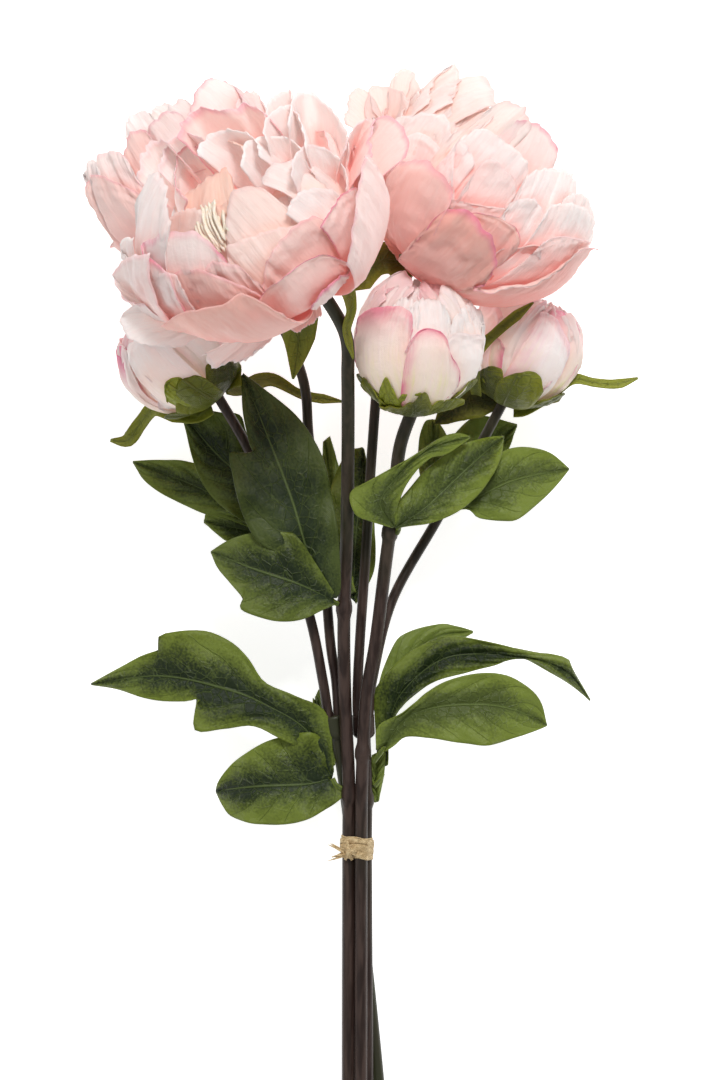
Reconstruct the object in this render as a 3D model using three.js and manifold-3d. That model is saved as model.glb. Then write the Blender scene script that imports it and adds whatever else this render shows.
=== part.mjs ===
// A bunch of artificial peonies tied with raffia, lying on its back on a table.
// Three open blooms and three buds stand on four plastic-coated wire stems. Each flower is threaded
// together from die-cut fabric layers on the peg of its calyx, and the leaves are pressed fabric.
//
// Millimetres. +Y runs along the stems towards the flowers, +Z is up from the table, and the origin
// is under the middle of the bunch. Places are written from the middle of the stems' visible length
// and the whole bunch is then shifted by ORIGIN_SHIFT.

import * as THREE from "three";
import { mergeVertices } from "three/addons/utils/BufferGeometryUtils.js";
import Module from "manifold-3d";

const wasm = await Module();
wasm.setup();

// ---------------------------------------------------------------- driving dimensions

const ORIGIN_SHIFT = [-2.4, 79.3, 0]; // puts the origin under the middle of the bunch's box
const GAP = 0.3; // between pieces that touch
const SMALLEST_DETAIL = 0.1; // slivers thinner than this are smoothed away

const STEM_RADIUS = 2.75; // main stems
const BRANCH_RADIUS = 2.3; // branches that carry a bloom or a bud
const WIRE_RADIUS = 0.9; // steel wire inside a main stem
const PETAL_THICKNESS = 0.9;
const LEAF_THICKNESS = 0.8;
const PEG_RADIUS = 1.6; // peg that the petal layers are threaded on
const HUB_HOLE = 2.1; // hole in the middle of each layer
const HUB_THICKNESS = 1;
const CALYX_DEPTH = 10; // below the first hub

// An open bloom. A pair gives the innermost and the outermost layer's value, and cells is how many
// flat cells a petal is made of, across and along.
const BLOOM = {
  layers: [
    { name: "guard_petals", level: 1, petals: 6, spin: 0, cells: [3, 3] },
    { name: "outer_petals", level: 0.75, petals: 6, spin: 31, cells: [2, 3] },
    { name: "middle_petals", level: 0.5, petals: 6, spin: 8, cells: [2, 3] },
    { name: "inner_petals", level: 0.25, petals: 5, spin: 41, cells: [2, 2] },
    { name: "heart_petals", level: 0, petals: 5, spin: 15, cells: [2, 2] },
  ],
  hubRadius: [3.4, 7.5],
  hubHeight: [9, 0],
  length: [66, 61],
  leanLow: [38, 92], // degrees from the flower's axis where a petal leaves the hub
  leanHigh: [-22, 24], // and at its tip
  stretch: 1, // of the height
  width: 1.2, // of a petal, beside its share of the circle, where its layer gives none
  overlap: 0.09, // share of a layer by which one edge lies inside its neighbour
  rounding: 0.18, // share of the length that the corners lose
  sepals: {
    count: 5,
    width: 0.7,
    hubRadius: [7, 7],
    hubHeight: [-2.6, -2.6],
    length: [17, 17],
    leanLow: [100, 100],
    leanHigh: [98, 98],
    stretch: 1,
    overlap: 0,
    rounding: 0.5,
  },
};

// A bud: taller and closed.
const BUD = {
  layers: [
    { name: "outer_petals", level: 1, petals: 5, spin: 0, cells: [2, 3] },
    { name: "inner_petals", level: 0, petals: 5, spin: 36, cells: [2, 2], width: 0.9 },
  ],
  hubRadius: [3.2, 6.5],
  hubHeight: [4, 0],
  length: [38, 46],
  leanLow: [84, 88],
  leanHigh: [-28, -22],
  stretch: 1.4,
  width: 1.14,
  overlap: 0.27,
  rounding: 0.2,
  sepals: {
    count: 5,
    width: 0.96,
    hubRadius: [5.4, 5.4],
    hubHeight: [-3.2, -3.2],
    length: [30, 30],
    leanLow: [88, 88],
    leanHigh: [36, 36],
    stretch: 1.2,
    overlap: 0,
    rounding: 0.5,
  },
};
const BUD_HEART = { radius: 12, length: 38 };

// Flowers: where the hub of the outermost layer sits, which way the flower opens, its turn about
// that axis in degrees, and its size beside the standard one.
const FLOWERS = {
  front_bloom: { kind: BLOOM, base: [-23, 114, 123], axis: [-0.46, 0.46, 0.76], spin: 20, size: 1.1 },
  left_bloom: { kind: BLOOM, base: [-54, 136, 53], axis: [-0.6, 0.8, -0.04], spin: 30, size: 0.95 },
  right_bloom: { kind: BLOOM, base: [25, 126, 58], axis: [0.42, 0.88, 0.2], spin: 0, size: 1.1 },
  centre_bud: { kind: BUD, base: [25, 60, 71], axis: [0.1, 0.96, 0.24], spin: 10, size: 1 },
  right_bud: { kind: BUD, base: [67, 64, 34], axis: [0.34, 0.93, 0.06], spin: 30, size: 0.9 },
  left_bud: { kind: BUD, base: [-65, 66, 52], axis: [-0.72, 0.66, 0.12], spin: 0, size: 0.9 },
};

// ---------------------------------------------------------------- small helpers

const mix = ([low, high], share) => low + (high - low) * share;
const ease = (share) => share * share * (3 - 2 * share);
const radians = THREE.MathUtils.degToRad;
const vector = (xyz) => new THREE.Vector3(...xyz);

// A closed geometry as a manifold-3d solid.
function solidOf(geometry) {
  const bare = geometry.index ? geometry.toNonIndexed() : geometry.clone();
  bare.deleteAttribute("normal");
  bare.deleteAttribute("uv");
  const merged = mergeVertices(bare, 1e-4);
  const mesh = new wasm.Mesh({
    numProp: 3,
    vertProperties: merged.attributes.position.array,
    triVerts: new Uint32Array(merged.index.array),
  });
  return new wasm.Manifold(mesh);
}

// Several overlapping closed geometries joined into one.
function joined(geometries) {
  const solid = geometries
    .map(solidOf)
    .reduce((whole, next) => whole.add(next))
    .simplify(SMALLEST_DETAIL);
  const mesh = solid.getMesh();
  const positions = new Float32Array(mesh.numVert * 3);
  for (let vertex = 0; vertex < mesh.numVert; vertex++) {
    const start = vertex * mesh.numProp;
    positions.set(mesh.vertProperties.subarray(start, start + 3), vertex * 3);
  }
  const geometry = new THREE.BufferGeometry();
  geometry.setAttribute("position", new THREE.BufferAttribute(positions, 3));
  geometry.setIndex(new THREE.BufferAttribute(mesh.triVerts, 1));
  geometry.computeVertexNormals();
  return geometry;
}

// A thin closed sheet about surface(across, along), with across from -1 to 1 and along from 0 to 1.
function sheet(surface, thickness, across, along) {
  const step = 1e-3;
  const rows = along + 1;
  const columns = across + 1;
  const positions = [];
  for (const side of [0.5, -0.5]) {
    for (let row = 0; row < rows; row++) {
      for (let column = 0; column < columns; column++) {
        const u = (2 * column) / across - 1;
        const v = row / along;
        const uLow = Math.max(u - step, -1);
        const vLow = Math.max(v - step, 0);
        const alongU = surface(uLow + 2 * step, v).sub(surface(uLow, v));
        const alongV = surface(u, vLow + 2 * step).sub(surface(u, vLow));
        const normal = alongU.cross(alongV).normalize();
        positions.push(...surface(u, v).addScaledVector(normal, side * thickness));
      }
    }
  }
  const index = [];
  const at = (face, row, column) => (face * rows + row) * columns + column;
  const quad = (a, b, c, d) => index.push(a, b, c, a, c, d);
  for (let row = 0; row < along; row++) {
    for (let column = 0; column < across; column++) {
      const corners = [[row, column], [row, column + 1], [row + 1, column + 1], [row + 1, column]];
      const front = corners.map(([r, c]) => at(0, r, c));
      const back = corners.map(([r, c]) => at(1, r, c));
      quad(...front);
      quad(...back.reverse());
    }
  }
  for (let column = 0; column < across; column++) {
    quad(at(1, 0, column), at(1, 0, column + 1), at(0, 0, column + 1), at(0, 0, column));
    quad(at(0, along, column), at(0, along, column + 1), at(1, along, column + 1), at(1, along, column));
  }
  for (let row = 0; row < along; row++) {
    quad(at(0, row, 0), at(0, row + 1, 0), at(1, row + 1, 0), at(1, row, 0));
    quad(at(1, row, across), at(1, row + 1, across), at(0, row + 1, across), at(0, row, across));
  }
  const geometry = new THREE.BufferGeometry();
  geometry.setAttribute("position", new THREE.Float32BufferAttribute(positions, 3));
  geometry.setIndex(index);
  return geometry;
}

const curveThrough = (points) =>
  new THREE.CatmullRomCurve3(points.map(vector), false, "catmullrom", 0.5);

// A round tube along a curve, with a bore if boreRadius is given.
function tube(curve, radius, steps, boreRadius = 0, sides = 8) {
  const section = new THREE.Shape().absarc(0, 0, radius, 0, 2 * Math.PI);
  if (boreRadius) section.holes.push(new THREE.Path().absarc(0, 0, boreRadius, 0, 2 * Math.PI));
  return new THREE.ExtrudeGeometry(section, { steps, extrudePath: curve, curveSegments: sides / 2 });
}

// A solid of revolution about +Z from [radius, height] pairs that run anticlockwise.
function turned(profile, segments) {
  const points = profile.map(([radius, height]) => new THREE.Vector2(radius, height));
  return new THREE.LatheGeometry(points, segments).rotateX(Math.PI / 2);
}

// A turned piece moved to a point, with its axis along a direction.
function standing(geometry, point, direction) {
  const turn = new THREE.Quaternion().setFromUnitVectors(vector([0, 0, 1]), direction.clone().normalize());
  return geometry.applyQuaternion(turn).translate(point.x, point.y, point.z);
}

// ---------------------------------------------------------------- petals

// The point of a petal surface: it leaves the hub at leanLow from the axis and bends evenly to leanHigh.
// level is 0 for the innermost layer and 1 for the outermost; turn, the petal's middle, and halfAngle
// are in radians.
function petalPoint(kind, level, turn, halfAngle, across, along) {
  const shell = level + kind.overlap * across * ease(along);
  const fullLength = mix(kind.length, shell);
  const distance = along * fullLength * (1 - kind.rounding * Math.abs(across) ** 2.5);
  const leanLow = radians(mix(kind.leanLow, shell));
  const bend = (radians(mix(kind.leanHigh, shell)) - leanLow) / fullLength;
  const lean = leanLow + bend * distance;
  const radius = mix(kind.hubRadius, shell) + (Math.cos(leanLow) - Math.cos(lean)) / bend;
  const climb = (Math.sin(lean) - Math.sin(leanLow)) / bend;
  const height = mix(kind.hubHeight, shell) + kind.stretch * climb;
  const spread = 0.45 + 0.55 * ease(Math.min(1, along / 0.6));
  const angle = turn + halfAngle * spread * across;
  return new THREE.Vector3(radius * Math.cos(angle), radius * Math.sin(angle), height);
}

// One die-cut layer: petals round a hub with a hole for the peg.
function petalLayer(kind, layer) {
  const hubEdge = mix(kind.hubRadius, layer.level) + 1.2;
  const hubTop = mix(kind.hubHeight, layer.level) + HUB_THICKNESS / 2;
  const hubFoot = hubTop - HUB_THICKNESS;
  const hub = turned(
    [[HUB_HOLE, hubFoot], [hubEdge, hubFoot], [hubEdge, hubTop], [HUB_HOLE, hubTop], [HUB_HOLE, hubFoot]],
    10,
  );
  const petals = [];
  for (let petal = 0; petal < layer.petals; petal++) {
    const turn = radians(layer.spin + (360 * petal) / layer.petals);
    const halfAngle = ((layer.width ?? kind.width) * Math.PI) / layer.petals;
    const surface = (across, along) => petalPoint(kind, layer.level, turn, halfAngle, across, along);
    petals.push(sheet(surface, PETAL_THICKNESS, ...layer.cells));
  }
  return joined([hub, ...petals]);
}

// The tuft in the middle of a bloom, on a small plate that sits on the peg. Its threads stand in two
// rings, thicker towards their tips and leaning a little outwards.
const TUFT = { plateRadius: 3, plateThickness: 1.4, threads: 8, rings: [1.1, 2.3], lengths: [16, 13] };

function stamens(pegTop) {
  const plateFoot = pegTop + GAP;
  const plateTop = plateFoot + TUFT.plateThickness;
  const plate = turned(
    [[0, plateFoot], [TUFT.plateRadius, plateFoot], [TUFT.plateRadius, plateTop], [0, plateTop]],
    8,
  );
  const threads = [];
  for (let thread = 0; thread < TUFT.threads; thread++) {
    const turn = (2 * Math.PI * thread) / TUFT.threads;
    const ring = TUFT.rings[thread % 2];
    const length = TUFT.lengths[thread % 2];
    const out = vector([Math.cos(turn), Math.sin(turn), 0]);
    const foot = out.clone().multiplyScalar(ring).setZ(plateTop - TUFT.plateThickness / 2);
    const direction = out.multiplyScalar(0.16 * ring).setZ(1);
    const thickening = new THREE.CylinderGeometry(0.65, 0.3, length, 4);
    const upright = thickening.translate(0, length / 2, 0).rotateX(Math.PI / 2);
    threads.push(standing(upright, foot, direction));
  }
  return joined([plate, ...threads]);
}

// ---------------------------------------------------------------- sepals and leaves

// A blade along a midrib. left and right are [share of the length, half width] pairs, face is the
// way its upper side looks, and fold, in degrees, lifts both halves from the midrib.
function blade({ midrib, left, right = left, face = [0, 0, 1], fold = 12 }) {
  const curve = curveThrough(midrib);
  const up = vector(face).normalize();
  const widthAt = (outline, share) => {
    const next = Math.max(1, outline.findIndex(([place]) => place >= share));
    const [lowPlace, lowWidth] = outline[next - 1];
    const [highPlace, highWidth] = outline[next];
    return lowWidth + ((highWidth - lowWidth) * (share - lowPlace)) / (highPlace - lowPlace);
  };
  const surface = (across, along) => {
    const share = Math.min(Math.max(along, 0), 1);
    const tangent = curve.getTangent(share);
    const sideways = tangent.clone().cross(up).normalize();
    const normal = sideways.clone().cross(tangent).normalize();
    const reach = across * widthAt(across < 0 ? left : right, share);
    return curve
      .getPoint(share)
      .addScaledVector(sideways, reach * Math.cos(radians(fold)))
      .addScaledVector(normal, Math.abs(reach) * Math.sin(radians(fold)));
  };
  return sheet(surface, LEAF_THICKNESS, 2, 6);
}

// Outlines of the blades, as shares of the length and half widths for a half width of 1.
const OVAL = [[0, 0.08], [0.14, 0.5], [0.34, 0.9], [0.52, 1], [0.72, 0.84], [0.88, 0.48], [1, 0.05]];
const LANCE = [[0, 0.1], [0.2, 0.62], [0.42, 1], [0.62, 0.82], [0.82, 0.4], [1, 0.06]];
const LOBED = [[0, 0.08], [0.22, 0.5], [0.42, 0.95], [0.56, 1.05], [0.6, 0.62], [0.72, 0.66], [1, 0.04]];
const STRAP = [[0, 0.6], [0.3, 1], [0.6, 0.55], [0.85, 0.6], [1, 0.12]];
const wide = (outline, halfWidth) => outline.map(([place, width]) => [place, width * halfWidth]);

// ---------------------------------------------------------------- flowers

// The calyx: a moulded cup with the peg on top and the stem's seat below, and its sepals.
function calyx(kind, straps, pegTop) {
  const hubRadius = kind.hubRadius[1];
  const cupTop = -HUB_THICKNESS / 2 - GAP;
  const seat = BRANCH_RADIUS + 0.6;
  const cup = turned(
    [
      [0, -CALYX_DEPTH],
      [seat, -CALYX_DEPTH],
      [seat + 0.6, 3 - CALYX_DEPTH],
      [hubRadius + 1, cupTop - 1.4],
      [hubRadius + 0.6, cupTop],
      [PEG_RADIUS, cupTop],
      [PEG_RADIUS, pegTop],
      [0, pegTop],
    ],
    8,
  );
  const { sepals } = kind;
  const leafy = [];
  for (let place = 0; place < sepals.count; place++) {
    const turn = (2 * Math.PI * place) / sepals.count;
    const halfAngle = (sepals.width * Math.PI) / sepals.count;
    const surface = (across, along) => petalPoint(sepals, 1, turn, halfAngle, across, along);
    leafy.push(sheet(surface, LEAF_THICKNESS, 2, 2));
  }
  return joined([cup, ...leafy, ...straps]);
}

// Long narrow sepals. Each starts inside the calyx and runs along points given from the flower's base.
const STRAPS = {
  front_bloom: [
    { halfWidth: 3.6, face: [0.5, 0.2, 0.85], midrib: [[13, -6, -7], [18, -18, -16], [19, -34, -24]] },
  ],
  left_bloom: [
    {
      halfWidth: 7.5,
      face: [0.1, -0.3, 1],
      midrib: [[11, -14, 9], [18, -32, 8], [19, -46, 4], [19, -58, 0]],
    },
  ],
  right_bloom: [
    {
      halfWidth: 5.5,
      face: [0.3, 0.6, 0.7],
      midrib: [[-6, -4, 1], [-14, -3, 3], [-21, -7, 3], [-27, -12, 1]],
    },
  ],
  centre_bud: [],
  right_bud: [
    { halfWidth: 4, face: [0, 0.5, 0.85], midrib: [[11, -9, 1], [26, -2, 3], [42, 5, 1], [61, 9, -5]] },
    {
      halfWidth: 3.6,
      face: [-0.4, -0.5, 0.75],
      midrib: [[-14, 2, 6], [-16, 18, 24], [-5, 30, 35], [11, 43, 34]],
    },
  ],
  left_bud: [
    {
      halfWidth: 4.4,
      face: [0, 0.4, 0.9],
      midrib: [[-5, -10, -7], [-18, -14, -14], [-33, -18, -19], [-49, -21, -24]],
    },
    {
      halfWidth: 3.6,
      face: [0, 0.4, 0.9],
      midrib: [[10, 2, -9], [24, 7, -15], [39, 0, -17], [57, -3, -15]],
    },
  ],
};

const COLOURS = {
  petal: { color: 0xf6cdcb, roughness: 0.75, metalness: 0 },
  heart: { color: 0xf7bfa8, roughness: 0.75, metalness: 0 },
  stamen: { color: 0xf1d9a6, roughness: 0.7, metalness: 0 },
  budPetal: { color: 0xf5e4da, roughness: 0.75, metalness: 0 },
  sepal: { color: 0x6f8a35, roughness: 0.7, metalness: 0 },
  leaf: { color: 0x3f5f33, roughness: 0.65, metalness: 0 },
  stem: { color: 0x4a3d38, roughness: 0.55, metalness: 0 },
  wire: { color: 0x8d8f92, roughness: 0.4, metalness: 0.9 },
  raffia: { color: 0xcfae7c, roughness: 0.8, metalness: 0 },
};
const materials = Object.fromEntries(
  Object.entries(COLOURS).map(([name, finish]) => [name, new THREE.MeshStandardMaterial(finish)]),
);

function named(name, geometry, material) {
  const mesh = new THREE.Mesh(geometry, materials[material]);
  mesh.name = name;
  return mesh;
}

// The foam egg inside a bud, standing on the peg.
function budHeart(foot) {
  const profile = [];
  const steps = 6;
  for (let step = 0; step <= steps; step++) {
    const turn = (Math.PI * step) / steps;
    const height = foot + (BUD_HEART.length / 2) * (1 - Math.cos(turn));
    const onAxis = step === 0 || step === steps;
    profile.push([onAxis ? 0 : BUD_HEART.radius * Math.sin(turn), height]);
  }
  return turned(profile, 10);
}

// A whole flower on its stem's end, built along its own +Z.
function flower(name, { kind, base, axis, spin, size }) {
  const head = new THREE.Group();
  head.position.set(...base);
  head.quaternion.setFromUnitVectors(vector([0, 0, 1]), vector(axis).normalize());
  head.quaternion.multiply(new THREE.Quaternion().setFromAxisAngle(vector([0, 0, 1]), radians(spin)));
  head.scale.setScalar(size);
  head.updateMatrixWorld(true);

  const open = kind === BLOOM;
  const pegTop = kind.hubHeight[0] + (open ? 3 : 1.2);
  for (const layer of kind.layers) {
    const material = open ? (layer.level > 0.3 ? "petal" : "heart") : "budPetal";
    head.add(named(`${name}_${layer.name}`, petalLayer(kind, layer), material));
  }
  if (open) head.add(named(`${name}_stamens`, stamens(pegTop), "stamen"));
  else head.add(named(`${name}_heart`, budHeart(pegTop + GAP), "budPetal"));
  const fromBase = (step) => head.worldToLocal(vector(base).add(vector(step))).toArray();
  const straps = STRAPS[name].map(({ midrib, halfWidth, face }) =>
    blade({
      midrib: [[0, 0, -CALYX_DEPTH / 2], ...midrib.map(fromBase)],
      face: vector(face).applyQuaternion(head.quaternion.clone().invert()).toArray(),
      left: wide(STRAP, halfWidth / size),
    }),
  );
  head.add(named(`${name}_calyx`, calyx(kind, straps, pegTop), "sepal"));
  return head;
}

// ---------------------------------------------------------------- stems

// Main stems from the cut end up, each a little higher above the table towards the flowers. A stem
// without a flower ends in a sleeve that holds two branches.
const TIE = { place: [0, -141, 22.7], slope: 5, length: 10.5, clearance: 0.8, wall: 0.9 };
const COLLAR = { radius: 3.55, length: 7, bevel: 1.2 };
const FORK_SLEEVE = { radius: 4.9, length: 9, bevel: 1.2 };
const STEMS = {
  front_stem: {
    path: [
      [-5.4, -360, 6], [-5.4, -248, 15.5], [-5.2, -141, 24.6], [-5.7, -110, 30], [-7.3, -73, 37],
      [-7.3, -36, 44], [-6, 0, 53], [-5.4, 40, 68], [-5.4, 72, 87],
    ],
    flower: "front_bloom",
    collars: [[-7.3, -31, 45], [-5.6, -117, 28.7]],
    steps: 14,
  },
  middle_stem: {
    path: [
      [0.4, -360, 8.6], [0.4, -248, 17.8], [0.6, -141, 27], [1.8, -110, 32.5], [3.6, -73, 39],
      [7.3, -45, 44], [11.8, -9, 51], [15.4, 18, 57], [18, 42, 62],
    ],
    flower: "centre_bud",
    collars: [[15.1, 3.6, 55], [3, -97, 34.4]],
    steps: 12,
  },
  right_stem: {
    path: [
      [3.4, -360, 2.9], [3.2, -248, 12], [2.8, -184, 17], [2.6, -141, 21], [2.6, -110, 24.6],
      [1.4, -80, 28],
    ],
    collars: [[2.6, -119, 23.4]],
    steps: 8,
  },
  left_stem: {
    path: [
      [18, -360, 2.9], [8.2, -249, 6.5], [1.6, -184, 11], [-3.4, -141, 18.2], [-7.2, -110, 23],
      [-12, -80, 28],
    ],
    collars: [],
    steps: 10,
  },
};
const BRANCHES = {
  right_bloom_branch: {
    path: [
      [-1.1, -79, 29.4], [-1, -64, 31], [0, -45, 33], [2.4, -9, 38], [5.4, 40, 43], [8.6, 77, 46],
      [14, 100, 48],
    ],
    flower: "right_bloom",
  },
  right_bud_branch: {
    path: [[4, -79, 28], [5.6, -64, 27.6], [14.6, -28, 26], [34, 7, 25], [52, 38, 28]],
    flower: "right_bud",
  },
  left_bud_branch: {
    path: [[-14.6, -79, 30], [-17, -64, 32], [-22.6, -36, 36], [-34, 0, 42], [-49, 38, 48]],
    flower: "left_bud",
  },
  left_bloom_branch: {
    path: [[-10, -79, 27.8], [-11, -64, 29], [-13.7, -45, 32], [-17.3, 0, 37], [-23, 45, 42], [-28, 80, 46]],
    flower: "left_bloom",
  },
};

// A stem's last two points: it meets the calyx square, a small gap below it.
function seatOf(name) {
  const { base, axis, size } = FLOWERS[name];
  const below = (distance) =>
    vector(base).addScaledVector(vector(axis).normalize(), -distance).toArray();
  const end = size * CALYX_DEPTH + GAP + 0.1;
  return [below(end + 5), below(end)];
}

// A short thicker sleeve round a stem, with bevelled ends. Its bore lies inside the stem's coat.
function sleeve({ radius, length, bevel }, point, direction) {
  const end = length / 2;
  const bore = (WIRE_RADIUS + STEM_RADIUS) / 2;
  const profile = [
    [bore, -end],
    [radius - bevel, -end],
    [radius, bevel - end],
    [radius, end - bevel],
    [radius - bevel, end],
    [bore, end],
    [bore, -end],
  ];
  return standing(turned(profile, 8), point, direction);
}

function mainStem(name, { path, flower: carried, collars, steps }) {
  const curve = curveThrough(carried ? [...path, ...seatOf(carried)] : path);
  const sleeves = collars.map((point) => {
    const near = nearestShare(curve, vector(point));
    return sleeve(COLLAR, curve.getPoint(near), curve.getTangent(near));
  });
  if (!carried) {
    const direction = curve.getTangent(1);
    const middle = curve.getPoint(1).addScaledVector(direction, -FORK_SLEEVE.length / 2);
    sleeves.push(sleeve(FORK_SLEEVE, middle, direction));
  }
  const coat = tube(curve, STEM_RADIUS, steps, WIRE_RADIUS + GAP);
  return [
    named(name, joined([coat, ...sleeves]), "stem"),
    named(`${name}_wire`, tube(curve, WIRE_RADIUS, steps, 0, 6), "wire"),
  ];
}

// The share of a curve's points at which it passes closest to a point.
function nearestShare(curve, point) {
  let best = 0;
  for (let share = 0; share <= 1; share += 0.0025) {
    if (curve.getPoint(share).distanceTo(point) < curve.getPoint(best).distanceTo(point)) best = share;
  }
  return best;
}

const branch = (name, { path, flower: carried }) =>
  named(name, tube(curveThrough([...path, ...seatOf(carried)]), BRANCH_RADIUS, 9), "stem");

// ---------------------------------------------------------------- leaves

// Each leaf is one pressed piece: a stalk beside its stem and its leaflets, which start in the stalk.
const LEAVES = {
  lower_left_leaf: {
    stalk: [[-9.95, -124, 28.2], [-12.2, -114, 28], [-13, -104, 28]],
    leaflets: [
      {
        midrib: [[-24, -87, 31], [-44, -75, 35], [-61, -68, 35], [-91, -62, 28], [-123, -66, 14]],
        left: wide(LOBED, 20),
        right: wide(LOBED, 24),
      },
      {
        midrib: [[-24, -111, 28], [-44, -112, 27], [-66, -115, 15]],
        left: wide(OVAL, 22),
        right: wide(OVAL, 17),
      },
      { midrib: [[-18, -92, 20], [-21, -70, 13]], left: wide(LANCE, 7), right: wide(LANCE, 5) },
    ],
  },
  lower_right_leaf: {
    stalk: [[6.6, -104.5, 33.9], [9.6, -97, 35], [13, -91, 36]],
    leaflets: [
      {
        midrib: [[20, -82, 39], [36, -76, 43], [59, -75, 42], [86, -84, 30]],
        left: wide(OVAL, 18),
        right: wide(OVAL, 15),
      },
    ],
  },
  lower_back_leaf: {
    stalk: [[7, -124, 23], [9.6, -113, 22.5], [11, -102, 22]],
    leaflets: [
      {
        midrib: [[13, -86, 25], [20, -69, 29], [41, -54, 31], [73, -54, 30], [94, -60, 22], [106, -74, 8]],
        left: wide(LANCE, 7),
        right: wide(LANCE, 16),
      },
      { midrib: [[12, -76, 15], [24, -54, 12], [53, -43, 6]], left: wide(LANCE, 8), right: wide(LANCE, 12) },
    ],
  },
  upper_left_leaf: {
    stalk: [[-12, -34, 46.6], [-13.5, -28, 49], [-15, -22, 52]],
    leaflets: [
      {
        midrib: [[-20, -8, 56], [-31, 18, 60], [-42, 47, 60], [-53, 75, 55]],
        left: wide(LOBED, 22),
        right: wide(OVAL, 18),
      },
      {
        midrib: [[-28, -19, 56], [-48, -13, 55], [-68, -5, 45]],
        left: wide(OVAL, 17),
        right: wide(OVAL, 18),
      },
    ],
  },
  upper_back_leaf: {
    stalk: [[-20.5, -2, 34.4], [-25, 2, 32], [-30, 8, 29]],
    leaflets: [
      { midrib: [[-42, 20, 31], [-64, 38, 31], [-81, 58, 31]], left: wide(LANCE, 12), right: wide(OVAL, 18) },
      { midrib: [[-45, 9, 26], [-74, 24, 19], [-104, 36, 9]], left: wide(OVAL, 12), right: wide(OVAL, 12) },
    ],
  },
  centre_leaf: {
    stalk: [[-2.9, -29, 34.4], [-4.2, -21, 31], [-4.4, -13, 28]],
    leaflets: [
      { midrib: [[-2, 4, 25], [1, 22, 24], [1, 43, 22]], left: wide(OVAL, 9), right: wide(OVAL, 8) },
      { midrib: [[-9, 4, 24], [-13, 26, 22], [-16, 46, 22]], left: wide(LANCE, 8) },
    ],
  },
  upper_right_leaf: {
    stalk: [[18.6, 4, 57], [20, 8, 59.5], [22, 12, 62]],
    leaflets: [
      {
        midrib: [[19, 24, 68], [33, 39, 72], [50, 46, 66]],
        left: wide(OVAL, 16),
        right: wide(LANCE, 7),
        fold: 24,
      },
      { midrib: [[32, 20, 62], [46, 32, 58], [64, 46, 46]], left: wide(LANCE, 9), right: wide(OVAL, 17) },
      { midrib: [[38, 16, 52], [64, 27, 40], [94, 32, 26]], left: wide(OVAL, 16), right: wide(OVAL, 17) },
    ],
  },
  upper_far_leaf: {
    stalk: [[33, 8, 21.6], [34, 13, 18], [36, 18, 15.6]],
    leaflets: [
      { midrib: [[35, 30, 14], [34, 42, 14], [33, 58, 16]], left: wide(OVAL, 9) },
      { midrib: [[48, 28, 12], [60, 42, 10], [72, 54, 9]], left: wide(OVAL, 11) },
    ],
  },
};
const STALK_RADIUS = 1.3;

function leaf(name, { stalk, leaflets }) {
  const fork = vector(stalk[1]).lerp(vector(stalk[2]), 0.5).toArray();
  const blades = leaflets.map((leaflet) => blade({ ...leaflet, midrib: [fork, ...leaflet.midrib] }));
  return named(name, joined([tube(curveThrough(stalk), STALK_RADIUS, 3, 0, 6), ...blades]), "leaf");
}

// ---------------------------------------------------------------- raffia tie

// The outline of a band pulled round the stems: in each direction it reaches the furthest stem.
function bandOutline(centres, reach, sides = 20) {
  const outline = [];
  for (let side = 0; side < sides; side++) {
    const turn = (2 * Math.PI * side) / sides;
    const out = new THREE.Vector2(Math.cos(turn), Math.sin(turn));
    const furthest = centres.reduce((best, centre) => (centre.dot(out) > best.dot(out) ? centre : best));
    outline.push(furthest.clone().addScaledVector(out, reach));
  }
  return outline;
}

// The band, square to the stems where it holds them.
function raffiaTie() {
  const band = new THREE.Group();
  band.position.set(...TIE.place);
  band.rotation.x = radians(90 + TIE.slope); // the band's own Z then points down the stems
  band.updateMatrixWorld(true);
  const centres = Object.values(STEMS).map(({ path }) => {
    const place = band.worldToLocal(vector(path.find(([, y]) => y === TIE.place[1])));
    return new THREE.Vector2(place.x, place.y);
  });
  const inside = STEM_RADIUS + TIE.clearance;
  const section = new THREE.Shape(bandOutline(centres, inside + TIE.wall));
  section.holes.push(new THREE.Path(bandOutline(centres, inside)));
  const ring = new THREE.ExtrudeGeometry(section, { depth: TIE.length, steps: 1, bevelEnabled: false });
  band.add(named("raffia_tie", ring.translate(0, 0, -TIE.length / 2), "raffia"));
  return band;
}

// The knot lies on the band's upper left, and its frayed ends point away from the stems.
const KNOT = {
  place: [-6.6, -144.5, 31.4],
  radii: [4.2, 2.6, 2],
  tails: [
    [[-7, -144.5, 31], [-10, -144, 31], [-14, -141, 30.4]],
    [[-7, -144.5, 31], [-9.6, -145.5, 30.6], [-12.2, -146.2, 29.6]],
  ],
  tailRadius: 0.8,
};

function raffiaKnot() {
  const lump = new THREE.SphereGeometry(1, 8, 6).scale(...KNOT.radii).translate(...KNOT.place);
  const tails = KNOT.tails.map((points) => tube(curveThrough(points), KNOT.tailRadius, 3, 0, 6));
  return named("raffia_knot", joined([lump, ...tails]), "raffia");
}

// ---------------------------------------------------------------- the bunch

const bunch = new THREE.Group();
bunch.position.set(...ORIGIN_SHIFT);
for (const [name, stem] of Object.entries(STEMS)) bunch.add(...mainStem(name, stem));
for (const [name, path] of Object.entries(BRANCHES)) bunch.add(branch(name, path));
for (const [name, shape] of Object.entries(FLOWERS)) bunch.add(flower(name, shape));
for (const [name, shape] of Object.entries(LEAVES)) bunch.add(leaf(name, shape));
bunch.add(raffiaTie(), raffiaKnot());

export default bunch;
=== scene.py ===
# A bunch of fabric peonies tied with raffia, laid on its back and seen from straight above.
import math

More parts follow.
